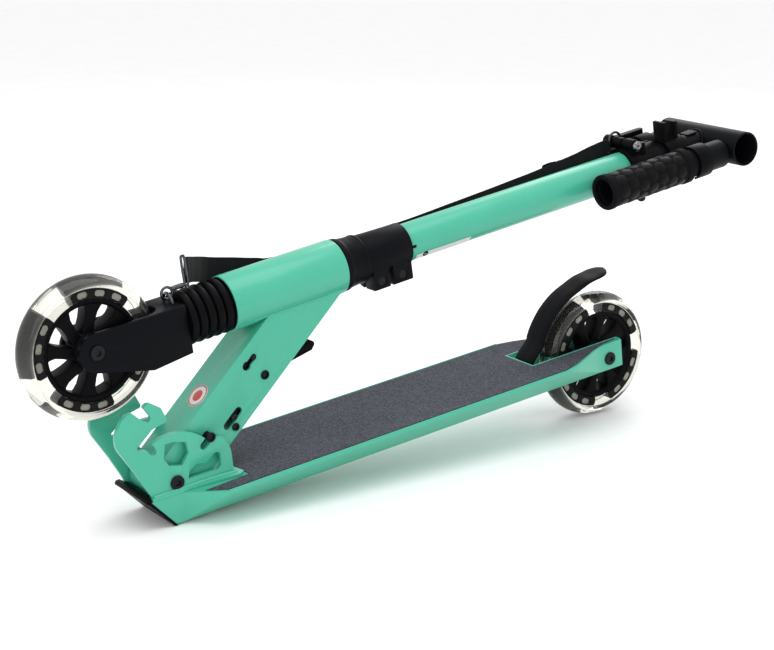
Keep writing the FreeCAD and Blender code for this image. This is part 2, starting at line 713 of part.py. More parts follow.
def lever_paddle():
    """The hand lever behind the neck, with the arm that moves the slider."""
    body = body_named("lever_body")
    pad(body, "paddle", "XZ", "13", [[
        ("-lever_pivot - 2", "lever_low + 5"),
        ("-140", "-21.5"), ("-171.5", "-38.5"), ("-172.5", "-44.5", "-174.5", "-42"),
        ("-168", "-45.5"), ("-139", "-30"), ("-lever_pivot - 2", "lever_low - 6"),
        ("-lever_pivot + 5", "lever_low", "-lever_pivot + 3.6", "lever_low - 4.2")]],
        both=True)
    pad(body, "crank", "XZ", "8", [[
        ("-lever_pivot - 5", "lever_low"), ("-lever_pivot + 5", "lever_low"),
        ("-lever_pivot + 2", "8.5 + 5"), ("-lever_pivot - 12", "8.5 + 5"),
    ]], both=True)
    pocket(body, "crank_slot", "XZ", "12", [[
        ("-lever_pivot - 6.1", "2"), ("-lever_pivot - 0.4", "2"),
        ("-lever_pivot - 3.7", "16"), ("-lever_pivot - 9.4", "16")]], both=True)
    bore = rod("lever_bore", "Y", "3 + running_gap", "-20", "20", ("-lever_pivot", "lever_low"))
    return cut("release_lever_solid", body, bore)


def round_badge():
    """Plain round sticker on the front face of the neck."""
    return rod("badge_disc", "Z", "11", "neck_front", "neck_front + 0.4", ("-71", "4"))


# ---- steering column -----------------------------------------------------------------------

def steerer():
    return ring("steerer_tube", "X", "steerer_radius", "steerer_bore",
                "-steerer_high", "steerer_low")


def headset_cone():
    body = body_named("headset_cone_body")
    revolve(body, "cone_turn", "XZ", [
        ("-cone_high", "steerer_radius"), ("-head_high - 0.5", "steerer_radius"),
        ("-head_high - 0.5", "24"), ("-head_high - 8", "24.4"), ("-cone_high", "22.4")])
    return body


LABEL_HOLE_ANGLE = -42


def steering_tube():
    tube = ring("steering_tube_ring", "X", "tube_radius", "tube_bore", "-tube_high", "-tube_low")
    slit = box("steering_tube_slit", ("-190", "0", "-1.5"), ("-tube_low + 1", "30", "1.5"))
    hole = rod("steering_tube_hole", "Y", "2.6", "0", "30", ("-201", "0"))
    lower_hole = turned("steering_tube_low_hole", hole, X_AXIS, LABEL_HOLE_ANGLE)
    return cut("steering_tube_solid", tube, slit, lower_hole)


def label_strip():
    """Blank label wrapped round the lower side of the tube, open over the hole."""
    outer = rod("label_outer", "X", "tube_radius + 0.25", "-254", "-191")
    inner = rod("label_inner", "X", "tube_radius", "-255", "-190")
    outer.Angle = 79
    shell = cut("label_shell", outer, inner)
    wrapped = turned("label_turned", shell, X_AXIS, -22)
    hole = rod("label_hole", "Y", "2.6", "0", "30", ("-201", "0"))
    opening = turned("label_hole_turned", hole, X_AXIS, LABEL_HOLE_ANGLE)
    return cut("label_strip_solid", wrapped, opening)


CLAMP_LOBES = ((-157.0, 16.5), (-182.0, 20.5))
CLAMP_BOLT_DROP = "-22"


def column_clamp():
    """Sleeve with two flat-sided lobes below it, each closed by a cross bolt."""
    sleeve = rod("clamp_sleeve", "X", "collar_radius", "-collar_high", "-cone_high - 0.1")
    lobes = body_named("clamp_lobes")
    for index, (low, length) in enumerate(CLAMP_LOBES):
        pad(lobes, "clamp_lobe_%d" % index, "YZ", str(length), [[
            ("-15", "0"), ("-15", "-16"), ("-1", "-29.5", "-10.5", "-25.7"), ("15", "-29.5"),
            ("17.5", "-27", "16.8", "-28.8"), ("17.5", "0")]], offset=str(low))
    solid = fuse("clamp_solid", sleeve, lobes)
    bore = rod("clamp_bore", "X", "tube_radius", "-200", "-100")
    slit = box("clamp_slit", ("-200", "-1.5", "-60"), ("-100", "1.5", "0"))
    room = []
    for index, (low, length) in enumerate(CLAMP_LOBES):
        at = (str(low + length / 2), CLAMP_BOLT_DROP)
        room.append(rod("clamp_hole_%d" % index, "Y", "2.5", "-20", "20", at))
        room.append(rod("clamp_sink_%d" % index, "Y", "4.2", "13.5", "20", at))
        room.append(rod("clamp_nut_sink_%d" % index, "Y", "4.2", "-20", "-9", at))
    return cut("column_clamp_solid", solid, bore, slit, *room)


def clamp_bolts():
    made = []
    for index, (low, length) in enumerate(CLAMP_LOBES):
        at = (str(low + length / 2), CLAMP_BOLT_DROP)
        shaft = rod("clamp_bolt_shaft_%d" % index, "Y", "2.5", "-9", "13.5", at)
        head = rod("clamp_bolt_head_%d" % index, "Y", "4", "13.5", "16.8", at)
        nut = rod("clamp_bolt_nut_%d" % index, "Y", "4", "-12", "-9", at)
        made.append(fuse("clamp_bolt_%d" % index, shaft, head, nut))
    return group("clamp_bolt_pair", *made)


def bellows():
    """Rubber boot between the fork crown and the head tube, open inside."""
    body = body_named("bellows_body")
    start = size("head_low") + 0.5
    pitch = (size("fork_crown") - 0.4 - start) / 5
    outline = [("fork_crown - 0.4", "18.5"), ("head_low + 0.5", "18.5")]
    for turn in range(5):
        low = start + turn * pitch
        outline.append(("%.3f" % low, "20.5"))
        outline.append(("%.3f" % (low + pitch * 0.96), "20.5",
                        "%.3f" % (low + pitch * 0.48), "24.6"))
    outline.append(("fork_crown - 0.4", "20.5"))
    revolve(body, "bellows_turn", "XZ", outline)
    return body


def top_clamp():
    """Collar that grips the sliding tube at the top of the steering tube."""
    collar = rod("lock_collar", "X", "lock_radius", "-466", "-lock_low")
    neck_part = rod("lock_neck", "X", "lock_radius - 1", "-lock_high", "-465")
    ear = box("lock_ear", ("-lock_bolt - 12", "-9", "0"), ("-lock_bolt + 5.5", "15", "25"))
    round_ear = rod("lock_ear_round", "Y", "5.8", "-15", "15", ("-lock_bolt", "lock_rise"))
    solid = fuse("lock_solid", collar, neck_part, ear, round_ear)
    bore = rod("lock_bore", "X", "tube_radius", "-tube_high", "-400")
    upper = rod("lock_upper_bore", "X", "inner_radius + 0.1", "-510", "-400")
    slit = box("lock_slit", ("-510", "-1.5", "0"), ("-400", "1.5", "60"))
    hole = rod("lock_hole", "Y", "3", "-30", "30", ("-lock_bolt", "lock_rise"))
    return cut("top_clamp_solid", solid, bore, upper, slit, hole)


def tube_sleeve():
    """Plastic liner that guides the sliding tube."""
    return ring("tube_sleeve_ring", "X", "tube_bore", "inner_radius + 0.1", "-tube_high", "-430")


def lock_skewer():
    """Bolt of the quick release, with its round nut."""
    at = ("-lock_bolt", "lock_rise")
    shaft = rod("skewer_shaft", "Y", "3", "-27.2", "15", at)
    nut = rod("skewer_nut", "Y", "4.8", "15", "19", at)
    stop = rod("skewer_stop", "Y", "4.5", "-29.5", "-27.2", at)
    return fuse("skewer_solid", shaft, nut, stop)


def lock_lever():
    """Quick-release lever on the skewer."""
    barrel = rod("lock_lever_cam", "Y", "6.2", "-27", "-18.6", ("-lock_bolt", "lock_rise"))
    arm = box("lock_lever_arm", ("-lock_high - 8", "-26.5", "lock_rise - 2"),
              ("-lock_bolt", "-19.5", "lock_rise + 3"))
    tip = rod("lock_lever_tip", "Z", "3.5", "lock_rise - 2", "lock_rise + 3",
              ("-lock_high - 8", "-23"))
    solid = fuse("lock_lever_all", barrel, arm, tip)
    bore = rod("lock_lever_bore", "Y", "3 + running_gap", "-40", "0", ("-lock_bolt", "lock_rise"))
    return cut("lock_lever_solid", solid, bore)


# ---- fork ----------------------------------------------------------------------------------

def fork():
    body = body_named("fork_body")
    pad(body, "fork_side", "XZ", "2 * fork_half", [[
        ("fork_crown", "fork_top"), ("fork_crown", "-26"), ("88", "-29.5"),
        ("fork_axle + 3", "fork_rise - 17.4"),
        ("fork_axle", "fork_rise + fork_end", "fork_axle + fork_end", "fork_rise")]],
        both=True)
    pocket(body, "wheel_slot", "XY", "120", [[
        ("fork_axle + 40", "fork_gap"), ("fork_slot + fork_gap", "fork_gap"),
        ("fork_slot + fork_gap", "-fork_gap", "fork_slot", "0"),
        ("fork_axle + 40", "-fork_gap")]], offset="60")
    stem = rod("fork_stem", "X", "stem_radius", "-70", "fork_crown + 4")
    solid = fuse("fork_with_stem", body, stem)
    hole = rod("fork_axle_hole", "Y", "axle_diameter / 2", "-30", "30",
               ("fork_axle", "fork_rise"))
    hollow = rod("fork_stem_hollow", "X", "9", "-80", "30")
    return cut("fork_solid", solid, hole, hollow)


def suspension_spring():
    """Coil spring between the fork stem and the plug in the steerer."""
    spring = coil("suspension_coil", "9.6", "1.3", "5", "45")
    spring.Placement = FreeCAD.Placement(FreeCAD.Vector(-71.5, 0, 0), FreeCAD.Rotation(Y_AXIS, -90))
    return spring


def spring_plug():
    """Threaded plug that the suspension spring pushes on."""
    return rod("spring_plug_disc", "X", "steerer_bore", "-128", "-118")


def strap_staple():
    """Half ring on top of the fork crown that takes the snap hook."""
    outer = rod("staple_outer", "X", "9.5", "54", "58", ("0", "fork_top + 0.1"))
    inner = rod("staple_inner", "X", "6.5", "53", "59", ("0", "fork_top + 0.1"))
    below = box("staple_below", ("53", "-12", "0"), ("59", "12", "fork_top + 0.1"))
    return cut("strap_staple_solid", outer, inner, below)


def snap_hook():
    """Snap hook of the strap: a tall eye and a hook body."""
    eye_outer = box("eye_outer", ("33", "-2.5", "25.6"), ("39", "2.5", "54"))
    eye_inner = box("eye_inner", ("35", "-5", "28"), ("37.4", "5", "51"))
    eye = cut("hook_eye", eye_outer, eye_inner)
    shank = rod("hook_shank", "X", "2.2", "38.5", "51.5", ("0", "28"))
    loop_outer = rod("loop_outer", "Y", "6.5", "-1.7", "1.7", ("56", "25.5"))
    loop_inner = rod("loop_inner", "Y", "3.9", "-3", "3", ("56", "25.5"))
    loop = cut("hook_loop", loop_outer, loop_inner)
    reach = cut("hook_reach", shank, rod("reach_room", "Y", "3.9", "-4", "4", ("56", "25.5")))
    return fuse("snap_hook_solid", eye, reach, loop)


STRAP_ROUTE = [
    (31.5, -4.6, 37.9), (22.0, -13.5, 34.2), (8.0, -24.7, 26.2), (-2.0, -26.9, 22.2),
    (-20.0, -27.2, 16.8), (-45.0, -27.3, 9.5), (-62.0, -27.3, 5.5), (-112.0, -27.1, 4.5),
    (-140.0, -25.4, 4.0), (-184.0, -22.4, 4.0), (-210.0, -19.6, 4.2), (-320.0, -19.5, 5.5),
    (-375.0, -19.3, 7.0), (-410.0, -19.3, 10.5), (-451.0, -18.9, 14.5),
]
STRAP_HALF_WIDTH = 12.5
STRAP_HALF_THICK = 0.9


def carry_strap():
    """Webbing that runs along the far side of the column, a flat band for each run."""
    up = Z_AXIS * STRAP_HALF_WIDTH
    bands = []
    for start, end in zip(STRAP_ROUTE, STRAP_ROUTE[1:]):
        first = FreeCAD.Vector(*start)
        last = FreeCAD.Vector(*end)
        side = (last - first).cross(Z_AXIS).normalize() * STRAP_HALF_THICK
        edge = Part.makePolygon([first - up - side, last - up - side, last + up - side,
                                 first + up - side, first - up - side])
        bands.append(Part.Face(edge).extrude(side * 2))
        if end != STRAP_ROUTE[-1]:
            bands.append(Part.makeCylinder(STRAP_HALF_THICK + 0.1, 2 * STRAP_HALF_WIDTH - 0.4,
                                           last - up + Z_AXIS * 0.2, Z_AXIS))
    strap = doc.addObject("Part::Feature", "carry_strap_sheet")
    strap.Shape = bands[0].multiFuse(bands[1:]).Solids[0]
    return strap


def strap_ring():
    """Ring that holds the strap to the skewer's far side."""
    torus = doc.addObject("Part::Torus", "strap_ring_torus")
    bind(torus, "Radius1", "7")
    bind(torus, "Radius2", "1.3")
    place(torus, ("-lock_bolt - 1.2", "-16.9", "lock_rise + 2.3"), TURNS["Y"])
    return torus


# ---- handlebar -----------------------------------------------------------------------------

def inner_tube():
    """Sliding tube, coped to the cross tube, with the small gusset that backs the weld."""
    tube = ring("inner_tube_ring", "X", "inner_radius", "inner_bore", "-cross_place", "-inner_low")
    gusset = box("gusset_block", ("-cross_place + 10", "-6", "13"), ("-538", "6", "15.5"))
    solid = fuse("inner_tube_all", tube, gusset)
    room = rod("inner_tube_room", "Y", "cross_radius", "-60", "60", ("-cross_place", "0"))
    return cut("inner_tube_solid", solid, room)


def cross_tube():
    return ring("cross_tube_ring", "Y", "cross_radius", "cross_bore", "-cross_half", "cross_half",
                ("-cross_place", "0"))


def grip_clip():
    """Plastic holder on the stem with a snap ring for each parked grip."""
    hub_ring = rod("clip_hub", "X", "inner_radius + 3.5", "-clip_high", "-clip_low")
    bridge = box("clip_bridge", ("-clip_high + 6", "-grip_side", "-8"),
                 ("-clip_low - 6", "grip_side", "4"))
    rings = [rod("clip_ring_" + side, "X", "inner_radius + 2.6", "-clip_high + 4",
                 "-clip_low - 4", (sign + "grip_side", "grip_drop"))
             for side, sign in (("left", ""), ("right", "-"))]
    ears = [box("clip_ear_low", ("-508", "-7", "0"), ("-504.5", "9", "35.5")),
            box("clip_ear_high", ("-524", "-9", "0"), ("-520", "7", "33"))]
    solid = fuse("clip_solid", hub_ring, bridge, *rings, *ears)
    bores = [rod("clip_bore_" + side, "X", "inner_radius + 0.35", "-600", "-400",
                 (sign + "grip_side", "grip_drop"))
             for side, sign in (("left", ""), ("right", "-"))]
    mouths = [box("clip_mouth_left", ("-600", "grip_side - 5", "-60"),
                  ("-400", "grip_side + 5", "grip_drop")),
              box("clip_mouth_right", ("-600", "-grip_side - 5", "-60"),
                  ("-400", "-grip_side + 5", "grip_drop"))]
    middle = rod("clip_middle_bore", "X", "inner_radius", "-600", "-400")
    return cut("grip_clip_solid", solid, middle, *bores, *mouths)


def grip_rubber(side, sign):
    at = (sign + "grip_side", "grip_drop")
    name = "grip_rubber_" + side
    sleeve = rod(name + "_sleeve", "X", "grip_radius", "-grip_collar", "-grip_open", at)
    lip = rod(name + "_lip", "X", "grip_radius + 0.4", "-grip_open - 5", "-grip_open", at)
    collar = rod(name + "_collar", "X", "grip_radius + 0.6", "-grip_collar",
                 "-grip_collar + 7", at)
    solid = fuse(name + "_all", sleeve, lip, collar)
    bore = rod(name + "_bore", "X", "inner_radius", "-grip_collar - 1", "-grip_open - 3", at)
    mouth = rod(name + "_mouth", "X", "inner_radius - 1", "-grip_open - 4", "-grip_open + 1", at)
    hole = rod(name + "_hole", "Z", "4.2", "grip_drop - 30", "grip_drop",
               ("-442", sign + "grip_side"))
    return cut(name + "_solid", solid, bore, mouth, hole)


def grip_tube(side, sign):
    """Steel tube of a parked grip, with the hole for its snap button."""
    tube = ring("grip_tube_%s_ring" % side, "X", "inner_radius", "inner_radius - 1.8",
                "-grip_end", "-grip_open - 3", (sign + "grip_side", "grip_drop"))
    hole = rod("grip_tube_hole_" + side, "Z", "4.2", "grip_drop - 30", "grip_drop",
               ("-442", sign + "grip_side"))
    return cut("grip_tube_%s_solid" % side, tube, hole)


def grip_button(side, sign):
    """Snap button that locks the grip in the cross tube."""
    at = ("-442", sign + "grip_side")
    return rod("grip_button_" + side + "_stalk", "Z", "4.1", "grip_drop - 21", "grip_drop - 9", at)


# ---- rear brake ----------------------------------------------------------------------------

def brake():
    """Curved fender that the rider's heel presses on the tyre."""
    body = body_named("brake_body")
    outer = size("brake_radius")
    inner = outer - size("brake_thick")

    def polar(radius, degrees):
        angle = math.radians(degrees)
        return ("%.3f" % (radius * math.cos(angle)), "%.3f" % (radius * math.sin(angle)))

    pad(body, "brake_strip", "XZ", "2 * brake_half", [[
        ("brake_x + 5.5", "brake_z + 2"), ("82", "19"),
        polar(outer, 20), polar(outer, 74) + polar(outer, 47),
        ("-20", "83.6"), ("-23.5", "81", "-22.9", "83"), ("-19.5", "79.7", "-22", "79.6"),
        polar(inner, 74), polar(inner, 22) + polar(inner, 48),
        ("78.2", "16"), ("brake_x - 5", "brake_z - 3")]], both=True)
    barrel = rod("brake_barrel", "Y", "6", "-brake_half", "brake_half", ("brake_x", "brake_z"))
    solid = fuse("brake_solid", body, barrel)
    bore = rod("brake_bore", "Y", "2.5 + running_gap", "-30", "30", ("brake_x", "brake_z"))
    return cut("brake_fender_solid", solid, bore)


def brake_pin():
    return rod("brake_pin_rod", "Y", "2.5", "-26", "26", ("brake_x", "brake_z"))


def brake_springs():
    """Closed turns of the return springs beside the barrel."""
    turns = []
    for side, sign in (("left", ""), ("right", "-")):
        for index in range(3):
            torus = doc.addObject("Part::Torus", "spring_turn_%s_%d" % (side, index))
            bind(torus, "Radius1", "3.6")
            bind(torus, "Radius2", "0.7")
            place(torus, ("brake_x", "%s(14.9 + %d * 1.9)" % (sign, index), "brake_z"),
                  TURNS["Y"])
            turns.append(torus)
    return group("brake_spring_turns", *turns)


# ---- assembly ------------------------------------------------------------------------------

def fold_range():
    """Turn of the neck that brings the front wheel level with the rear one."""
    column = math.radians(size("column_angle"))
    along, rise = size("fork_axle"), size("fork_rise")
    wheel_x = size("base_x") + along * math.cos(column) + rise * math.sin(column)
    wheel_z = size("base_z") - along * math.sin(column) + rise * math.cos(column)
    reach = math.hypot(wheel_x - size("pivot_x"), wheel_z - size("pivot_z"))
    folded = math.atan2(wheel_z - size("pivot_z"), wheel_x - size("pivot_x"))
    return math.degrees(folded + math.asin(size("pivot_z") / reach))


NECK_LOCAL = frame_at("pivot_x", "pivot_z", "neck_angle")
COLUMN_LOCAL = frame_at("base_x", "base_z", "column_angle")
FOLD_RANGE = fold_range()
STAND = stand_placement()
HINGE = STAND.multiply(FreeCAD.Placement(
    FreeCAD.Vector(size("pivot_x"), 0, size("pivot_z")), FreeCAD.Rotation()))
NECK = STAND.multiply(NECK_LOCAL)
COLUMN = STAND.multiply(COLUMN_LOCAL)
FRONT_WHEEL = wheel_placement(COLUMN, size("fork_axle"), size("fork_rise"))


def build_all():
    add("deck", deck(), STAND)
    add("grip_tape", grip_tape(), STAND)
    add("nose_cap", nose_cap(), STAND)
    for side in ("left", "right"):
        add("hinge_plate_" + side, hinge_plate(side), HINGE)
    add("pivot_bolt", pivot_bolt(), HINGE)
    add("rear_axle", axle_bolt("rear_bolt", "arm_half"), STAND)
    add("rear_spacers", side_spacers("rear_spacer", "tyre_width / 2 - 0.4", "cutout_half"), STAND)
    add("brake_fender", brake(), STAND)
    add("brake_pin", brake_pin(), STAND)
    add("brake_springs", brake_springs(), STAND)
    add_wheel("rear", STAND)
    add("neck", neck(), NECK)
    add("neck_bushes", neck_bushes(), NECK)
    add("lever_bolt", lever_bolt(), NECK)
    add("neck_screws", neck_screws(), NECK)
    add("round_badge", round_badge(), NECK)
    add("lock_slider", lock_slider(), NECK)
    add("slider_pins", slider_pins(), NECK)
    add("release_lever", lever_paddle(), NECK)
    add("head_tube", head_tube(), COLUMN)
    add("headset_bearings", headset_bearings(), COLUMN)
    add("steerer", steerer(), COLUMN)
    add("spring_plug", spring_plug(), COLUMN)
    add("headset_cone", headset_cone(), COLUMN)
    add("steering_tube", steering_tube(), COLUMN)
    add("label_strip", label_strip(), COLUMN)
    add("column_clamp", column_clamp(), COLUMN)
    add("clamp_bolts", clamp_bolts(), COLUMN)
    add("bellows", bellows(), COLUMN)
    add("top_clamp", top_clamp(), COLUMN)
    add("tube_sleeve", tube_sleeve(), COLUMN)
    add("lock_skewer", lock_skewer(), COLUMN)
    add("lock_lever", lock_lever(), COLUMN)
    add("carry_strap", carry_strap(), COLUMN)
    add("snap_hook", snap_hook(), COLUMN)
    add("strap_ring", strap_ring(), COLUMN)
    add("fork", fork(), COLUMN)
    add("strap_staple", strap_staple(), COLUMN)
    add("suspension_spring", suspension_spring(), COLUMN)
    add("front_axle", axle_bolt("front_bolt", "fork_half"), FRONT_WHEEL)
    add("front_spacers", side_spacers("front_spacer", "tyre_width / 2 - 0.4", "fork_gap"),
        FRONT_WHEEL)
    add_wheel("front", FRONT_WHEEL)
    add("inner_tube", inner_tube(), COLUMN)
    add("cross_tube", cross_tube(), COLUMN)
    add("grip_clip", grip_clip(), COLUMN)
    for side, sign in (("left", ""), ("right", "-")):
        add("grip_tube_" + side, grip_tube(side, sign), COLUMN)
        add("grip_rubber_" + side, grip_rubber(side, sign), COLUMN)
        add("grip_button_" + side, grip_button(side, sign), COLUMN)


def centre_on_floor():
    """Move the whole object so that its box is centred on the origin, above the floor."""
    whole = FreeCAD.BoundBox()
    for obj in pieces.values():
        whole.add(obj.Shape.optimalBoundingBox(False, False))
    shift = FreeCAD.Vector(-whole.Center.x, -whole.Center.y, -whole.ZMin)
    for obj in pieces.values():
        moved = FreeCAD.Placement(obj.Placement)
        moved.Base = moved.Base.add(shift)
        obj.Placement = moved
    return shift


def check_and_write():
    for obj in doc.Objects:
        for state in obj.State:
            if state in ("Invalid", "Error"):
                raise RuntimeError("%s is %s" % (obj.Name, state))
    for label, obj in pieces.items():
        if obj.Shape.isNull() or not obj.Shape.isValid() or not obj.Shape.Solids:
            raise RuntimeError("%s has no valid solid" % label)
    os.makedirs("parts", exist_ok=True)
    for label, obj in pieces.items():
        obj.Shape.exportStep("parts/%s.step" % label)


build_all()
doc.recompute()
SHIFT = centre_on_floor()
doc.recompute()
check_and_write()
print("%d sub-parts, fold range %.2f degrees" % (len(pieces), FOLD_RANGE))
print("shift", [round(value, 4) for value in SHIFT])
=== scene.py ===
import bmesh
import bpy
import json
import math
import random
from mathutils import Matrix, Vector
from mathutils.geometry import tessellate_polygon


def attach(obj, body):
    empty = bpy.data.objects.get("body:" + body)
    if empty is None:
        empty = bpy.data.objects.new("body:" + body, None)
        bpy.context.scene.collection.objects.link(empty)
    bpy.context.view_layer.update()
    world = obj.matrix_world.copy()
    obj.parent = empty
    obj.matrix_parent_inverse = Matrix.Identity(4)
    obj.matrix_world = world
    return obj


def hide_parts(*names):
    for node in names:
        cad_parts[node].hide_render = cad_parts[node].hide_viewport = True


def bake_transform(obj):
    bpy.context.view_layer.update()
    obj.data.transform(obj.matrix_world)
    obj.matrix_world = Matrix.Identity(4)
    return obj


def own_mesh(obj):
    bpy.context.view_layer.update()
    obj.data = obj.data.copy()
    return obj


# Looks of the folding kick scooter.  Lengths are millimetres in five working frames (deck,
# hinge, neck, column, front wheel); `make` turns them into the shared frame in metres.

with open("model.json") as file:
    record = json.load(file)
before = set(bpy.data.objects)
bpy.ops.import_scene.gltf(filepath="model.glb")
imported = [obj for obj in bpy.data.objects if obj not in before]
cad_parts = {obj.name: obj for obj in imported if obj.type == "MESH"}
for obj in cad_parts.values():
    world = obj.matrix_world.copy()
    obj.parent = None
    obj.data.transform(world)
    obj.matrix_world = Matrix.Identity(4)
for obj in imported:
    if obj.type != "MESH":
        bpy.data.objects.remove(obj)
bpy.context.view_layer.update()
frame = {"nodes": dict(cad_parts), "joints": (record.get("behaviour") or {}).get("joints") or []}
random.seed(12)

MM = 0.001
COLUMN_ANGLE = 2.2
NECK_ANGLE = 39.2
WHEEL_RADIUS = 62.5
NOSE_BOTTOM = (493.5, -11.5)

# ---- working frames ------------------------------------------------------------------------

joints = {joint["name"]: joint for joint in frame["joints"]}


def joint_place(name):
    return Vector(joints[name]["pos_m"])


TILT = math.degrees(math.asin(WHEEL_RADIUS / math.hypot(*NOSE_BOTTOM))
                    - math.atan2(-NOSE_BOTTOM[1], NOSE_BOTTOM[0]))


def working_frame(origin, angle):
    turn = Matrix.Rotation(math.radians(angle), 4, "Y")
    return Matrix.Translation(origin) @ turn @ Matrix.Scale(MM, 4)


DECK = working_frame(joint_place("rear_spin"), TILT)
HINGE = working_frame(joint_place("fold"), TILT)
NECK = working_frame(joint_place("fold"), TILT + NECK_ANGLE)
COLUMN = working_frame(joint_place("steer"), TILT + COLUMN_ANGLE)
FRONT_WHEEL = working_frame(joint_place("front_spin"), TILT + COLUMN_ANGLE)

# ---- materials -----------------------------------------------------------------------------


def linear(red, green, blue):
    """A shader colour from 0-255 display values."""
    def channel(value):
        value /= 255
        return value / 12.92 if value <= 0.04045 else ((value + 0.055) / 1.055) ** 2.4
    return (channel(red), channel(green), channel(blue), 1.0)


def surface(name, light, dark, rough, grain, bump, metallic=0.0, coat=0.0, relief=0.0002,
            sheen=0.0, specular=0.5):
    """A material: two scales of noise colour and roughen it, and the finer one is its relief."""
    material = bpy.data.materials.new(name)
    material.use_nodes = True
    nodes = material.node_tree.nodes
    links = material.node_tree.links
    shader = nodes["Principled BSDF"]
    shader.inputs["Metallic"].default_value = metallic
    shader.inputs["Coat Weight"].default_value = coat
    shader.inputs["Coat Roughness"].default_value = 0.06
    shader.inputs["Sheen Weight"].default_value = sheen
    shader.inputs["Specular IOR Level"].default_value = specular
    place = nodes.new("ShaderNodeTexCoord")
    broad = nodes.new("ShaderNodeTexNoise")
    broad.inputs["Scale"].default_value = 14.0
    broad.inputs["Detail"].default_value = 3.0
    fine = nodes.new("ShaderNodeTexNoise")
    fine.inputs["Scale"].default_value = grain
    fine.inputs["Detail"].default_value = 4.0
    links.new(place.outputs["Object"], broad.inputs["Vector"])
    links.new(place.outputs["Object"], fine.inputs["Vector"])
    blend = nodes.new("ShaderNodeMath")
    blend.operation = "MULTIPLY_ADD"
    blend.inputs[1].default_value = 0.5
    half = nodes.new("ShaderNodeMath")
    half.operation = "MULTIPLY"
    half.inputs[1].default_value = 0.5
    links.new(broad.outputs["Fac"], half.inputs[0])
    links.new(fine.outputs["Fac"], blend.inputs[0])
    links.new(half.outputs[0], blend.inputs[2])
    colours = nodes.new("ShaderNodeValToRGB")
    colours.color_ramp.elements[0].position = 0.32
    colours.color_ramp.elements[0].color = dark
    colours.color_ramp.elements[1].position = 0.68
    colours.color_ramp.elements[1].color = light
    links.new(blend.outputs[0], colours.inputs["Fac"])
    links.new(colours.outputs["Color"], shader.inputs["Base Color"])
    roughness = nodes.new("ShaderNodeMapRange")
    roughness.inputs["To Min"].default_value = rough[0]
    roughness.inputs["To Max"].default_value = rough[1]
    links.new(blend.outputs[0], roughness.inputs["Value"])
    links.new(roughness.outputs["Result"], shader.inputs["Roughness"])
    dent = nodes.new("ShaderNodeBump")
    dent.inputs["Strength"].default_value = bump
    dent.inputs["Distance"].default_value = relief
    links.new(fine.outputs["Fac"], dent.inputs["Height"])
    links.new(dent.outputs["Normal"], shader.inputs["Normal"])
    if coat:
        links.new(dent.outputs["Normal"], shader.inputs["Coat Normal"])
    return material


def paint():
    return surface("mint_paint", linear(69, 175, 147), linear(62, 166, 138), (0.3, 0.4), 900.0,
                   0.05, coat=0.2, relief=0.00005, specular=0.4)


def gritted():
    """Grip tape: dark resin with bright and dark grains."""
    material = surface("grip_grit", linear(70, 72, 82), linear(40, 42, 50), (0.75, 0.95), 1500.0,
                       0.55, relief=0.0003, specular=0.35)
    nodes = material.node_tree.nodes
    links = material.node_tree.links
    shader = nodes["Principled BSDF"]
    cells = nodes.new("ShaderNodeTexVoronoi")
    cells.inputs["Scale"].default_value = 900.0
    links.new(nodes["Texture Coordinate"].outputs["Object"], cells.inputs["Vector"])
    ramp = nodes.new("ShaderNodeValToRGB")
    ramp.color_ramp.elements[0].position = 0.25
    ramp.color_ramp.elements[0].color = linear(30, 31, 37)
    ramp.color_ramp.elements[1].position = 0.85
    ramp.color_ramp.elements[1].color = linear(98, 100, 112)
    links.new(cells.outputs["Color"], ramp.inputs["Fac"])
    mix = nodes.new("ShaderNodeMix")
    mix.data_type = "RGBA"
    mix.inputs[0].default_value = 0.5
    links.new(nodes["Color Ramp"].outputs["Color"], mix.inputs[6])
    links.new(ramp.outputs["Color"], mix.inputs[7])
    links.new(mix.outputs[2], shader.inputs["Base Color"])
    return material


def clear_urethane():
    """Clear cast polyurethane with faint cloudiness."""
    material = surface("clear_urethane", linear(246, 244, 236), linear(226, 224, 214), (0.02, 0.05),
                       60.0, 0.003)
    shader = material.node_tree.nodes["Principled BSDF"]
    shader.inputs["Transmission Weight"].default_value = 0.985
    shader.inputs["IOR"].default_value = 1.42
    return material


def woven():
    """Black webbing with ribs across the band."""
    material = surface("webbing", linear(17, 17, 20), linear(8, 8, 10), (0.8, 0.95), 1200.0, 0.3,
                       sheen=0.05, specular=0.2)
    nodes = material.node_tree.nodes
    links = material.node_tree.links
    weave = nodes.new("ShaderNodeTexWave")
    weave.wave_type = "BANDS"
    weave.bands_direction = "X"
    weave.inputs["Scale"].default_value = 260.0
    weave.inputs["Distortion"].default_value = 0.6
    links.new(nodes["Texture Coordinate"].outputs["Object"], weave.inputs["Vector"])
    rib = nodes.new("ShaderNodeBump")
    rib.inputs["Strength"].default_value = 0.6
    rib.inputs["Distance"].default_value = 0.0004
    links.new(weave.outputs["Fac"], rib.inputs["Height"])
    links.new(nodes["Bump"].outputs["Normal"], rib.inputs["Normal"])
    links.new(rib.outputs["Normal"], nodes["Principled BSDF"].inputs["Normal"])
    return material


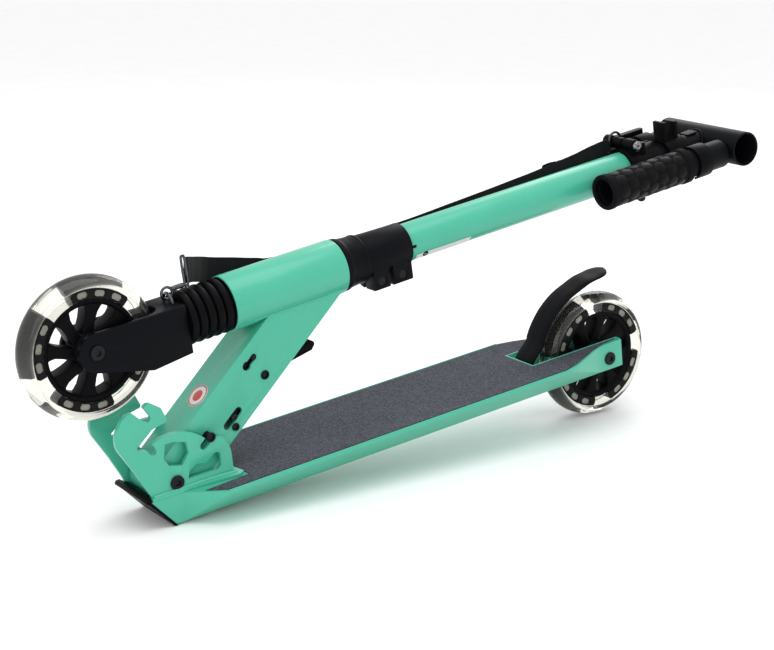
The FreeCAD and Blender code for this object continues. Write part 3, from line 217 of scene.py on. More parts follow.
MINT = paint()
GRIT = gritted()
CLEAR = clear_urethane()
WEBBING = woven()
SATIN_BLACK = surface("satin_black", linear(13, 14, 19), linear(8, 9, 12), (0.36, 0.5), 1400.0,
                      0.12, relief=0.0001, specular=0.06)
PLASTIC = surface("black_plastic", linear(9, 10, 12), linear(5, 5, 7), (0.34, 0.5), 700.0, 0.1,
                  specular=0.05)
CORE = surface("smoked_core", linear(19, 20, 20), linear(11, 12, 12), (0.22, 0.36), 300.0, 0.05,
               specular=0.08)
RUBBER = surface("black_rubber", linear(9, 10, 12), linear(5, 5, 7), (0.36, 0.52), 500.0, 0.15,
                 specular=0.06)
GRIP_RUBBER = surface("grip_rubber", linear(18, 18, 21), linear(11, 11, 13), (0.6, 0.75), 1600.0,
                      0.35, specular=0.05)
HEX_RUBBER = surface("hex_rubber", linear(7, 7, 9), linear(4, 4, 5), (0.34, 0.48), 600.0, 0.1,
                     specular=0.1)
BLACK_OXIDE = surface("black_oxide", linear(16, 16, 19), linear(8, 8, 10), (0.3, 0.5), 800.0,
                      0.15, metallic=0.2, specular=0.25)
STEEL = surface("zinc_steel", linear(205, 206, 208), linear(160, 161, 164), (0.25, 0.42), 500.0,
                0.12, metallic=1.0)
CHROME = surface("chrome", linear(168, 170, 174), linear(120, 122, 126), (0.1, 0.22), 300.0, 0.04,
                 metallic=1.0)
DARK_CHROME = surface("dark_chrome", linear(96, 98, 102), linear(60, 62, 66), (0.14, 0.28), 300.0,
                      0.05, metallic=1.0)
# The lugs' pale colour is painted light: the light seen through the clear urethane in the core's
# windows.
LUG_PAINTED_BACKLIGHT = surface("lug_painted_backlight", linear(184, 183, 171), linear(148, 147, 138), (0.2, 0.32), 90.0, 0.04)
LABEL = surface("label_film", linear(226, 228, 228), linear(206, 208, 208), (0.35, 0.5), 300.0,
                0.05)
BADGE = surface("badge_red", linear(206, 66, 52), linear(186, 54, 42), (0.3, 0.42), 400.0, 0.05)
NYLON = surface("liner_nylon", linear(60, 60, 62), linear(44, 44, 46), (0.45, 0.6), 400.0, 0.1)

# ---- mesh tools ----------------------------------------------------------------------------


def grid_faces(rows, columns, wrap_rows=False, wrap_columns=False):
    """Quads over a grid of points stored row by row."""
    faces = []
    for row in range(rows if wrap_rows else rows - 1):
        for column in range(columns if wrap_columns else columns - 1):
            a = row * columns + column
            b = row * columns + (column + 1) % columns
            next_row = ((row + 1) % rows) * columns
            faces.append((a, b, next_row + (column + 1) % columns, next_row + column))
    return faces


def tube_faces(rows, columns, closed=False):
    """Quads round a tube of points, with a cap on each end unless it closes on itself."""
    faces = grid_faces(rows, columns, wrap_rows=closed, wrap_columns=True)
    if not closed:
        faces.append(tuple(range(columns)))
        faces.append(tuple((rows - 1) * columns + i for i in range(columns)))
    return faces


def spun(along, radius, angle, axis):
    """A point at `angle` on a circle about the X or Y axis."""
    if axis == "X":
        return (along, radius * math.cos(angle), radius * math.sin(angle))
    return (radius * math.cos(angle), along, radius * math.sin(angle))


def lathe(profile, axis, segments=96, at=(0, 0, 0), start=0.0, turn=360.0):
    """Turn a closed profile of (along, radius) points about an axis through `at`."""
    full = turn >= 360
    count = segments if full else segments + 1
    verts = []
    for step in range(count):
        angle = math.radians(start + turn * step / segments)
        for along, radius in profile:
            point = spun(along, radius, angle, axis)
            verts.append(tuple(p + q for p, q in zip(point, at)))
    return verts, tube_faces(count, len(profile), full)


NEARLY_STRAIGHT = math.radians(176)


def rounded(outline, radius, steps=3):
    """Round the corners of a closed outline."""
    points = [Vector(point) for point in outline]
    result = []
    for index, corner in enumerate(points):
        before = points[index - 1] - corner
        after = points[(index + 1) % len(points)] - corner
        angle = before.angle(after)
        if angle > NEARLY_STRAIGHT:
            result.append(tuple(corner))
            continue
        reach = radius / math.tan(angle / 2)
        reach = min(reach, 0.48 * before.length, 0.48 * after.length)
        size = reach * math.tan(angle / 2)
        middle = (before.normalized() + after.normalized()).normalized()
        centre = corner + middle * (size / math.sin(angle / 2))
        first = corner + before.normalized() * reach - centre
        last = corner + after.normalized() * reach - centre
        sweep = first.angle(last)
        direction = 1 if first.x * last.y - first.y * last.x > 0 else -1
        for step in range(steps + 1):
            turn = direction * sweep * step / steps
            spoke = Matrix.Rotation(turn, 2) @ first
            result.append(tuple(centre + spoke))
    return result


def ring_profile(low, high, inner, outer, edge):
    """Profile of a tube wall with rounded edges."""
    return rounded([(low, inner), (high, inner), (high, outer), (low, outer)], edge)


def area(loop):
    total = 0.0
    for index, point in enumerate(loop):
        total += loop[index - 1][0] * point[1] - point[0] * loop[index - 1][1]
    return total / 2


def inset(loop, amount):
    """Move a closed loop to its left by `amount` at every corner."""
    moved = []
    for index, point in enumerate(loop):
        here = Vector(point)
        before = (here - Vector(loop[index - 1])).normalized()
        after = (Vector(loop[(index + 1) % len(loop)]) - here).normalized()
        left = Vector((-before.y - after.y, before.x + after.x))
        if left.length < 1e-6:
            moved.append(tuple(point))
            continue
        left.normalize()
        stretch = max(0.6, left.dot(Vector((-before.y, before.x))))
        moved.append(tuple(here + left * (amount / stretch)))
    return moved


# For each drawing plane: the axes of the drawing, then the axis of the thickness.
AXES = {"XZ": (0, 2, 1), "XY": (0, 1, 2)}
EDGE_STEPS = 3


def prism(loops, low, high, edge, plane="XZ"):
    """Thicken an outline with holes, all its edges rounded by `edge`."""
    outer, *holes = loops
    outer = outer if area(outer) > 0 else outer[::-1]
    rings = [outer] + [hole if area(hole) < 0 else hole[::-1] for hole in holes]
    layers = []
    for step in range(EDGE_STEPS + 1):
        angle = math.pi / 2 * step / EDGE_STEPS
        layers.append((edge * (1 - math.sin(angle)), low + edge * (1 - math.cos(angle))))
    layers += [(amount, low + high - level) for amount, level in reversed(layers)]
    a, b, c = AXES[plane]
    verts = []
    faces = []
    caps = {0: [], len(layers) - 1: []}
    for loop in rings:
        base = len(verts)
        for number, (amount, level) in enumerate(layers):
            shifted = inset(loop, amount) if amount > 1e-9 else loop
            if number in caps:
                caps[number].append((len(verts), shifted))
            for point in shifted:
                vert = [0.0, 0.0, 0.0]
                vert[a], vert[b], vert[c] = point[0], point[1], level
                verts.append(tuple(vert))
        faces += [tuple(base + i for i in face)
                  for face in grid_faces(len(layers), len(loop), wrap_columns=True)]
    for cap in caps.values():
        order = [start + i for start, loop in cap for i in range(len(loop))]
        flat = [[Vector((p[0], p[1], 0)) for p in loop] for _, loop in cap]
        faces += [tuple(order[i] for i in triangle) for triangle in tessellate_polygon(flat)]
    return verts, faces


def smooth_path(points, steps, closed=False):
    """A smooth curve through the points."""
    points = [Vector(point) for point in points]
    count = len(points)
    result = []
    for index in range(count if closed else count - 1):
        p1 = points[index]
        p2 = points[(index + 1) % count]
        p0 = points[index - 1] if closed or index else p1 * 2 - p2
        p3 = points[(index + 2) % count] if closed or index + 2 < count else p2 * 2 - p1
        for step in range(steps):
            f = step / steps
            result.append(0.5 * ((2 * p1) + (p2 - p0) * f + (2 * p0 - 5 * p1 + 4 * p2 - p3) * f ** 2
                                 + (3 * p1 - p0 - 3 * p2 + p3) * f ** 3))
    if not closed:
        result.append(points[-1])
    return result


def path_length(path):
    return sum((after - before).length for before, after in zip(path, path[1:]))


def heading(path, index, closed=False):
    """The direction of a path at one of its points."""
    ahead = path[(index + 1) % len(path)] if closed else path[min(index + 1, len(path) - 1)]
    behind = path[index - 1] if closed else path[max(index - 1, 0)]
    return (ahead - behind).normalized()


def wire(path, radius, closed=False, segments=12, wobble=0.0):
    """A round wire along a path; `wobble` makes it lumpy like a weld."""
    path = [Vector(point) for point in path]
    normal = None
    verts = []
    for index, point in enumerate(path):
        direction = heading(path, index, closed)
        if normal is None:
            normal = direction.orthogonal().normalized()
        normal = (normal - direction * normal.dot(direction)).normalized()
        side = direction.cross(normal)
        size = radius * (1 + wobble * math.sin(index * 2.1) * random.uniform(0.4, 1.0))
        for step in range(segments):
            angle = math.tau * step / segments
            verts.append(tuple(point + (normal * math.cos(angle) + side * math.sin(angle)) * size))
    return verts, tube_faces(len(path), segments, closed)


def circle(radius, count, centre=(0, 0)):
    return [(centre[0] + radius * math.cos(math.tau * i / count),
             centre[1] + radius * math.sin(math.tau * i / count)) for i in range(count)]


def moved(part, matrix):
    verts, faces = part
    return [tuple(matrix @ Vector(vert)) for vert in verts], faces


def shifted(part, x=0.0, y=0.0, z=0.0):
    return moved(part, Matrix.Translation((x, y, z)))


def turned(part, angle, axis="Y"):
    return moved(part, Matrix.Rotation(math.radians(angle), 4, axis))


def flipped(part):
    """The same part on the other side of the middle plane."""
    verts, faces = part
    return [(x, -y, z) for x, y, z in verts], faces


# Points closer than this, in metres, are one: in a piece's own mesh, then in a frame node's.
SAME_POINT = 1e-7
NODE_POINT = 2e-6
FLAT_ANGLE = math.radians(0.4)
EDGE_ANGLE = math.radians(32)
LONG_EDGE = 60.0
LONG_EDGE_ANGLE = math.radians(50)


def finish_mesh(obj, smooth):
    mesh = obj.data
    edit = bmesh.new()
    edit.from_mesh(mesh)
    bmesh.ops.remove_doubles(edit, verts=edit.verts, dist=SAME_POINT)
    bmesh.ops.recalc_face_normals(edit, faces=edit.faces)
    edit.to_mesh(mesh)
    edit.free()
    mesh.shade_smooth()
    mesh.set_sharp_from_angle(angle=math.radians(smooth))


def make(name, space, parts, material, body, stands_for=(), smooth=38.0):
    """Join parts into one object that rides on a body of the frame."""
    verts = []
    faces = []
    for part_verts, part_faces in parts:
        base = len(verts)
        verts += [space @ Vector(vert) for vert in part_verts]
        faces += [tuple(base + i for i in face) for face in part_faces]
    mesh = bpy.data.meshes.new(name)
    mesh.from_pydata(verts, [], faces)
    mesh.materials.append(material)
    obj = bpy.data.objects.new(name, mesh)
    bpy.context.scene.collection.objects.link(obj)
    finish_mesh(obj, smooth)
    if body:
        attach(obj, body)
    if stands_for:
        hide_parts(*stands_for)
    return obj


def soften(node, name, material, body, width, long_width=0.0):
    """A copy of a frame node with its sharp edges rounded over, its long ones by `long_width`."""
    source = frame["nodes"][node]
    mesh = source.data.copy()
    mesh.name = name
    mesh.materials.clear()
    mesh.materials.append(material)
    obj = bpy.data.objects.new(name, mesh)
    bpy.context.scene.collection.objects.link(obj)
    edit = bmesh.new()
    edit.from_mesh(mesh)
    bmesh.ops.remove_doubles(edit, verts=edit.verts, dist=NODE_POINT)
    bmesh.ops.dissolve_limit(edit, angle_limit=FLAT_ANGLE, verts=edit.verts,
                             edges=edit.edges)
    if long_width:
        edges = [edge for edge in edit.edges if edge.calc_length() > LONG_EDGE * MM
                 and len(edge.link_faces) == 2 and edge.calc_face_angle(0) > LONG_EDGE_ANGLE]
        bmesh.ops.bevel(edit, geom=edges, offset=long_width * MM, segments=4, profile=0.5,
                        affect="EDGES", clamp_overlap=True)
    edges = [edge for edge in edit.edges if len(edge.link_faces) == 2
             and edge.calc_face_angle(0) > EDGE_ANGLE]
    bmesh.ops.bevel(edit, geom=edges, offset=width * MM, segments=2, profile=0.5,
                    affect="EDGES", clamp_overlap=True)
    edit.to_mesh(mesh)
    edit.free()
    finish_mesh(obj, 40.0)
    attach(obj, body)
    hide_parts(node)
    return obj


# ---- wheels --------------------------------------------------------------------------------

TYRE_HALF = 12.0
TREAD_ROUND = 14.5
TYRE_BORE = 44.05
TYRE_FACE = 11.2
CORE_HALF = 11.6
CORE_TOP = 52.6
TREAD_STEPS = 24
DEGREES_A_STEP = 2.5
QUARTERS = 4
WINDOW_GAP = 19
SPOKES = 8


def tyre_part():
    """Round tread and flat sides, stepped in where the core shows."""
    tread = math.asin(TYRE_HALF / TREAD_ROUND)
    profile = []
    for step in range(TREAD_STEPS + 1):
        angle = -tread + 2 * tread * step / TREAD_STEPS
        profile.append((TREAD_ROUND * math.sin(angle),
                        WHEEL_RADIUS - TREAD_ROUND * (1 - math.cos(angle))))
    side = [(TYRE_HALF, 54.2), (TYRE_HALF - 0.25, 53.5), (TYRE_FACE, CORE_TOP + 0.4),
            (TYRE_FACE, TYRE_BORE)]
    profile += side + [(-across, radius) for across, radius in reversed(side)]
    return lathe(profile, "Y", 128)


def polar_outline(points):
    """An outline given as (degrees, radius) corners, curved between them."""
    loop = []
    for index, (angle, radius) in enumerate(points):
        next_angle, next_radius = points[(index + 1) % len(points)]
        count = max(1, int(abs(next_angle - angle) / DEGREES_A_STEP))
        for step in range(count):
            part = step / count
            a = math.radians(angle + (next_angle - angle) * part)
            r = radius + (next_radius - radius) * part
            loop.append((r * math.cos(a), r * math.sin(a)))
    return loop


def window_loop(angle, span, low, high):
    """A round-cornered window in the core."""
    corner = span * 0.3
    return polar_outline([
        (angle - span + corner, low), (angle + span - corner, low), (angle + span, low + 1.6),
        (angle + span, high - 1.6), (angle + span - corner, high), (angle - span + corner, high),
        (angle - span, high - 1.6), (angle - span, low + 1.6)])


def core_parts(phase, half_span):
    """Four dark segments across the wheel, each with three windows."""
    parts = []
    for quarter in range(QUARTERS):
        middle = phase + quarter * 90
        low, high = middle - half_span, middle + half_span
        outer = polar_outline([
            (low, 44.15), (high, 44.15), (high, 50.4), (high - 2, CORE_TOP), (low + 2, CORE_TOP),
            (low, 50.4)])
        windows = [window_loop(middle + step * WINDOW_GAP, 5.4, 45.5, 51.0)
                   for step in (-1, 0, 1)]
        parts.append(prism([outer] + windows, -CORE_HALF, CORE_HALF, edge=0.4))
    return parts


def lug_parts(phase):
    """Urethane that fills the windows of the core; its pale colour is painted light, standing for
    the light seen through the clear windows.
    """
    parts = []
    for quarter in range(QUARTERS):
        for step in (-1, 0, 1):
            loop = window_loop(phase + quarter * 90 + step * WINDOW_GAP, 5.3, 45.6, 50.9)
            parts.append(prism([loop], 1.1 - CORE_HALF, CORE_HALF - 1.1, edge=0.3))
    return parts


def spoke_part(angle):
    """One bent spoke from the boss to the rim."""
    stations = ((12.0, -4.0, 5.6), (18.0, 0.0, 5.2), (25.0, 6.0, 4.8), (32.0, 9.0, 5.4),
                (36.5, 10.0, 7.4), (40.5, 10.0, 11.0))
    left = []
    right = []
    for radius, bend, half in stations:
        a = math.radians(angle + bend)
        along = Vector((math.cos(a), math.sin(a)))
        across = Vector((-math.sin(a), math.cos(a)))
        left.append(tuple(along * radius + across * half))
        right.append(tuple(along * radius - across * half))
    return prism([left + right[::-1]], -8.6, 8.6, edge=1.8)


def hub_parts(phase):
    rim = rounded([(-10.6, 44.0), (-10.6, 41.0), (-8.6, 38.8), (8.6, 38.8), (10.6, 41.0),
                   (10.6, 44.0)], 0.7)
    boss = rounded([(-11.5, 11.0), (-11.5, 13.2), (-8.2, 15.4), (8.2, 15.4), (11.5, 13.2),
                    (11.5, 11.0)], 0.8)
    parts = [lathe(rim, "Y"), lathe(boss, "Y", 64)]
    parts += [spoke_part(phase + index * 360 / SPOKES) for index in range(SPOKES)]
    return parts


def bearing_parts():
    """Ball bearing faces: outer race, dished shield, inner race."""
    face = [(11.4, 4.05), (11.4, 6.2), (10.9, 6.5), (10.9, 9.3), (11.4, 9.6), (11.4, 10.95),
            (4.5, 10.95), (4.5, 4.05)]
    part = lathe(face, "Y", 56)
    return [part, flipped(part)]


def hex_bolt(half, head, rise):
    """Socket head on one end of a bolt: its rim, its six-sided socket and the socket's floor."""
    top = half + rise
    ring = rounded([(half, 3.2), (top - 0.1, 3.2), (top, 3.6), (top, head - 0.9),
                    (top - 0.7, head), (half, head)], 0.3)
    socket = prism([circle(head - 1.2, 36), circle(2.9, 6)], half + rise - 1.1,
                   half + rise - 0.15, edge=0.15)
    floor_disc = prism([circle(3.3, 24)], half - 1, half + rise - 1.4, edge=0.1)
    return [lathe(ring, "Y", 48), socket, floor_disc]


def bolt_heads(half, head, rise, place=(0, 0, 0)):
    """The socket heads at both ends of a bolt across the scooter."""
    near = [shifted(part, *place) for part in hex_bolt(half, head, rise)]
    return near + [flipped(part) for part in near]


def through_bolt(half, bore, shank, head, rise, place=(0, 0, 0)):
    """A bolt across the scooter: its two heads and the shank between them."""
    rod = lathe(ring_profile(-half, half, bore, shank, 0.2), "Y", 32, place)
    return bolt_heads(half, head, rise, place) + [rod]


def build_wheel(end, space, spoke_phase, core_phase, core_span):
    body = end + "_wheel"
    make(end + "_tyre_clear", space, [tyre_part()], CLEAR, body, [end + "_tyre"])
    make(end + "_core_segments", space, core_parts(core_phase, core_span), CORE, body,
         [end + "_core_ring"])
    # The lugs' pale colour is painted light seen through the core's windows.
    make(end + "_core_lugs", space, lug_parts(core_phase), LUG_PAINTED_BACKLIGHT, body)
    make(end + "_hub_spokes", space, hub_parts(spoke_phase), PLASTIC, body, [end + "_hub"])
    make(end + "_bearing_pair", space, bearing_parts(), STEEL, body, [end + "_bearings"])


# ---- deck group ----------------------------------------------------------------------------

PLATE_OUTER = 26.5
ARM_OUTER = 28.0
WELD_SPACING = 1.9
STRIP_RADIUS = 75.9
STRIP_HALF = 13.5
STRIP_LIFT = 1.6
STRIP_SIDES = 12


def weld_line(points, radius):
    """A run of overlapping weld ripples."""
    path = smooth_path(points, 10)
    count = max(4, int(path_length(path) / WELD_SPACING) * 3)
    picked = [path[min(len(path) - 1, int(i * (len(path) - 1) / count))] for i in range(count + 1)]
    unique = [picked[0]]
    for point in picked[1:]:
        if (point - unique[-1]).length > 0.2:
            unique.append(point)
    return wire(unique, radius, segments=10, wobble=0.18)


def deck_lips():
    """Raised mint edge round the wheel cut-out, at the arm ends and along the deck."""
    parts = []
    for side in (1, -1):
        loop = [(-15.8, 20.4), (89.9, 20.4), (89.9, 0.0), (91.4, 0.0), (91.4, 21.7), (-14.4, 21.7),
                (-14.4, 26.2), (-15.8, 26.2)]
        parts.append(prism([[(x, side * y) for x, y in loop]], 15.2, 16.9, 0.35, "XY"))
        edge = [(76.0, side * 56.2, 15.9), (264.0, side * 56.2, 15.9), (452.0, side * 56.2, 15.9)]
        parts.append(wire(smooth_path(edge, 12), 0.75, segments=10))
    return parts


def build_deck():
    soften("deck", "deck_shell", MINT, "deck", 0.9)
    make("deck_edge_lips", DECK, deck_lips(), MINT, "deck")
    soften("nose_cap", "nose_bumper", PLASTIC, "deck", 1.1)
    for side in ("left", "right"):
        soften("hinge_plate_" + side, "bracket_plate_" + side, MINT, "deck", 0.8)
    foot = [(-56, 30.5, -6.6), (-30, 28.0, -6.3), (0, 27.4, -6.3), (24, 27.2, -6.4)]
    near = weld_line(foot, 1.9)
    make("bracket_welds", HINGE, [near, flipped(near)], MINT, "deck")
    make("pivot_bolt_head", HINGE, through_bolt(PLATE_OUTER, 2.0, 4.0, 6.4, 2.2), BLACK_OXIDE,
         "deck", ["pivot_bolt"])
    make("rear_axle_heads", DECK, through_bolt(ARM_OUTER, 2.0, 4.0, 6.5, 1.9), BLACK_OXIDE,
         "deck", ["rear_axle"])


def build_brake():
    """Curved strip with a round, lifted tip."""
    centre_line = [(86.5, 8.0), (82.0, 18.0)]
    for degrees in range(22, 75, 4):
        a = math.radians(degrees)
        centre_line.append((STRIP_RADIUS * math.cos(a), STRIP_RADIUS * math.sin(a)))
    centre_line += [(7.0, 77.6), (-6.0, 79.4), (-15.0, 80.9), (-22.0, 81.9)]
    path = smooth_path([(x, 0, z) for x, z in centre_line], 4)
    length = path_length(path)
    verts = []
    travelled = 0.0
    for index, point in enumerate(path):
        if index:
            travelled += (point - path[index - 1]).length
        normal = heading(path, index).cross(Vector((0, 1, 0))).normalized()
        left = max(0.0, length - travelled)
        tip = math.sqrt(max(0.0, 1 - (1 - left / STRIP_HALF) ** 2)) if left < STRIP_HALF else 1.0
        half = max(0.6, STRIP_HALF * tip)
        for step in range(STRIP_SIDES):
            angle = math.tau * (step + 0.5) / STRIP_SIDES
            y = half * max(-1, min(1, 1.18 * math.cos(angle)))
            lift = STRIP_LIFT * max(-1, min(1, 1.9 * math.sin(angle)))
            verts.append(tuple(point + Vector((0, y, 0)) - normal * lift))
    strip = (verts, tube_faces(len(path), STRIP_SIDES))
    barrel = lathe(ring_profile(-STRIP_HALF, STRIP_HALF, 2.6, 6.0, 0.6), "Y", 40, (84.0, 0, 3.0))
    make("brake_strip", DECK, [strip, barrel], SATIN_BLACK, "brake", ["brake_fender"],
         smooth=50)


# ---- neck group ----------------------------------------------------------------------------

NECK_SIDE = 19.5
LEVER_BOLT = (-120.8, 0, -11.9)
SIDE_SCREW = (-69.5, 0, -19.3)
LOCK_PIN = (-48.1, 0, 0)
GUIDE_HALF = 20.7
# Place and radius of the two guide pins.
GUIDE_PINS = ((-75.1, 0, -12.0, 3.15), (-125.6, 0, 8.5, 2.35))
BADGE_PLACE = (-71, 4)
BADGE_BACK = 20.9
BADGE_TOP = 21.3
BADGE_RED_TOP = 21.36
BEAD_STEPS = 24


def build_neck():
    soften("neck", "neck_box", MINT, "neck", 0.5, long_width=2.6)
    tube = ring_profile(-111.0, 5.0, 22.55, 25.1, 0.9)
    make("head_tube_round", COLUMN, [lathe(tube, "X", 128)], MINT, "neck", ["head_tube"])
    bead = []
    for step in range(BEAD_STEPS + 1):
        bead.append((-90 + 78.0 * step / BEAD_STEPS, 19.4, -16.3))
    seam = wire(bead, 0.9, segments=8, wobble=0.12)
    make("neck_welds", COLUMN, [seam, flipped(seam)], MINT, "neck")
    make("neck_bolt_heads", NECK, bolt_heads(NECK_SIDE, 4.2, 1.4, LEVER_BOLT), BLACK_OXIDE,
         "neck", ["lever_bolt"])
    make("neck_screw_heads", NECK, bolt_heads(NECK_SIDE, 3.6, 1.4, SIDE_SCREW), BLACK_OXIDE,
         "neck", ["neck_screws"])
    disc = prism([circle(11.0, 56, BADGE_PLACE)], BADGE_BACK, BADGE_TOP, 0.15, "XY")
    red_ring = prism([circle(10.6, 56, BADGE_PLACE), circle(9.3, 56, BADGE_PLACE)], BADGE_BACK,
                     BADGE_RED_TOP, 0.05, "XY")
    red_dot = prism([circle(5.6, 40, BADGE_PLACE)], BADGE_BACK, BADGE_RED_TOP, 0.05, "XY")
    make("badge_disc", NECK, [disc], LABEL, "neck", ["round_badge"])
    make("badge_rings", NECK, [red_ring, red_dot], BADGE, "neck")
    soften("release_lever", "release_paddle", PLASTIC, "release_lever", 0.9)
    pins = through_bolt(26.9, 1.0, 3.0, 4.4, 1.7, LOCK_PIN)
    for *place, radius in GUIDE_PINS:
        outline = ring_profile(-GUIDE_HALF, GUIDE_HALF, 0.3, radius, 0.4)
        pins.append(lathe(outline, "Y", 32, place))
    make("lock_pin_head", NECK, pins, BLACK_OXIDE, "lock_slider", ["slider_pins"])


# ---- column --------------------------------------------------------------------------------

BELLOWS_TURNS = 5
COIL_TURNS = 9
COIL_STEPS = 24
COIL_START = -71.5
COIL_LENGTH = 45.0
COIL_RADIUS = 9.6
LOCK_BOLT = (-461.0, 0, 24.0)


def bellows_profile():
    """Five round turns with deep valleys, and a cuff at each end."""
    start = 6.0
    end = 49.2
    pitch = (end - start) / BELLOWS_TURNS
    outer = [(start - 0.4, 19.0), (start - 0.4, 24.2)]
    for turn in range(BELLOWS_TURNS):
        low = start + turn * pitch
        for step in range(9):
            angle = math.pi * step / 8
            along = low + pitch / 2 - pitch * 0.47 * math.cos(angle)
            outer.append((along, 20.1 + 4.3 * math.sin(angle) ** 0.8))
    outer += [(end + 0.3, 24.0), (end + 0.3, 19.0)]
    inner = []
    for turn in range(BELLOWS_TURNS, 0, -1):
        middle = start + (turn - 0.5) * pitch
        inner += [(middle + pitch * 0.4, 18.6), (middle, 21.0), (middle - pitch * 0.4, 18.6)]
    return outer + inner


def shorten(obj):
    """Give a soft piece of the suspension its own copy of its mesh."""
    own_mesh(obj)


def build_suspension():
    boot = make("bellows_boot", COLUMN, [lathe(bellows_profile(), "X", 96)], RUBBER, "column",
                ["bellows"], smooth=60)
    shorten(boot)
    steps = COIL_TURNS * COIL_STEPS
    coil = []
    for step in range(steps + 1):
        angle = math.tau * step / COIL_STEPS
        coil.append(spun(COIL_START - COIL_LENGTH * step / steps, COIL_RADIUS, angle, "X"))
    spring = make("suspension_coil", COLUMN, [wire(coil, 1.3, segments=10)], STEEL, "column",
                  ["suspension_spring"])
    shorten(spring)


def build_column():
    cone = rounded([(-136.0, 15.9), (-111.5, 15.9), (-111.5, 23.6), (-113.2, 24.5),
                    (-116.5, 24.3), (-119.0, 23.2), (-127.0, 22.3), (-132.5, 22.2),
                    (-134.2, 22.7), (-136.0, 22.4)], 0.6)
    make("headset_cup", COLUMN, [lathe(cone, "X", 96)], SATIN_BLACK, "column", ["headset_cone"])
    tube = ring_profile(-462.0, -136.6, 15.95, 17.45, 0.5)
    plug = prism([circle(3.0, 28), circle(1.3, 16)], 17.0, 18.1, 0.3, "XY")
    plug = turned(shifted(plug, -201.0), -130, "X")
    make("mint_tube", COLUMN, [lathe(tube, "X", 128)], MINT, "column", ["steering_tube"])
    # The slit is not cut into the tube: a thin dark sheet over its end is painted shade standing
    # for the opening, beside a dark ring over the small hole.
    slit = rounded([(-190.0, -1.4), (-183.0, -1.4), (-183.0, 1.4), (-190.0, 1.4)], 1.2)
    slit_painted_shade = prism([slit], 17.3, 17.52, 0.05)
    make("tube_hole_ring_and_slit_shade", COLUMN, [plug, slit_painted_shade], RUBBER, "column")
    strip = lathe(rounded([(-253, 17.46), (-191, 17.46), (-191, 17.66), (-253, 17.66)], 0.05, 1),
                  "X", 40, start=-112, turn=79)
    make("blank_label", COLUMN, [strip], LABEL, "column", ["label_strip"])
    soften("column_clamp", "double_clamp", SATIN_BLACK, "column", 0.9)
    soften("top_clamp", "tube_top_clamp", PLASTIC, "column", 0.8)
    barrel = rounded([(-14.9, 3.2), (14.9, 3.2), (14.9, 5.6), (13.6, 6.2), (2.0, 6.2),
                      (-1.0, 5.0), (-13.6, 5.0), (-14.9, 4.6)], 0.4)
    nut = rounded([(15.1, 0.4), (19.0, 0.4), (19.0, 4.0), (18.2, 4.9), (15.1, 4.9)], 0.4)
    bar = ring_profile(-29.4, 15.2, 0.4, 2.95, 0.2)
    stop = rounded([(-29.4, 0.4), (-27.3, 0.4), (-27.3, 4.6), (-29.0, 4.6)], 0.4)
    make("clamp_barrel", COLUMN, [lathe(barrel, "Y", 56, LOCK_BOLT)], PLASTIC, "column")
    skewer = [lathe(part, "Y", 48, LOCK_BOLT) for part in (nut, bar, stop)]
    make("skewer_rod", COLUMN, skewer, CHROME, "column", ["lock_skewer"])
    soften("lock_lever", "clamp_lever", PLASTIC, "lock_lever", 0.8)


# Each stop: place of the middle line, then half the webbing's width there.
STRAP_ROUTE = [
    (35.0, -2.0, 39.5, 11.0), (30.5, -4.6, 38.0, 11.0), (22.0, -12.0, 34.4, 10.6),
    (8.0, -22.6, 28.0, 10.8), (-2.0, -26.4, 23.2, 11.5), (-20.0, -27.1, 17.2, 12.0),
    (-45.0, -27.1, 9.4, 12.0), (-62.0, -27.1, 5.2, 11.8), (-112.0, -27.1, 2.0, 11.5),
    (-140.0, -25.4, 1.2, 11.8), (-190.0, -22.4, 0.6, 12.2), (-215.0, -19.6, 1.2, 12.5),
    (-318.0, -19.3, 5.0, 12.5), (-375.0, -19.2, 8.0, 12.5), (-410.0, -19.0, 11.5, 12.0),
    (-432.0, -18.9, 16.0, 10.5), (-444.0, -18.6, 19.8, 8.0), (-454.4, -17.4, 23.4, 5.6),
]


STRAP_STEPS = 9
STRAP_HALF_THICK = 0.9
GATHER_ROWS = 13
# The webbing's cut: across its width, then through its thickness, both in halves.
STRAP_CUT = ((-1, -1), (-0.5, -1), (0, -1), (0.5, -1), (1, -1), (1.03, 0), (1, 1), (0.5, 1),
             (0, 1), (-0.5, 1), (-1, 1), (-1.03, 0))


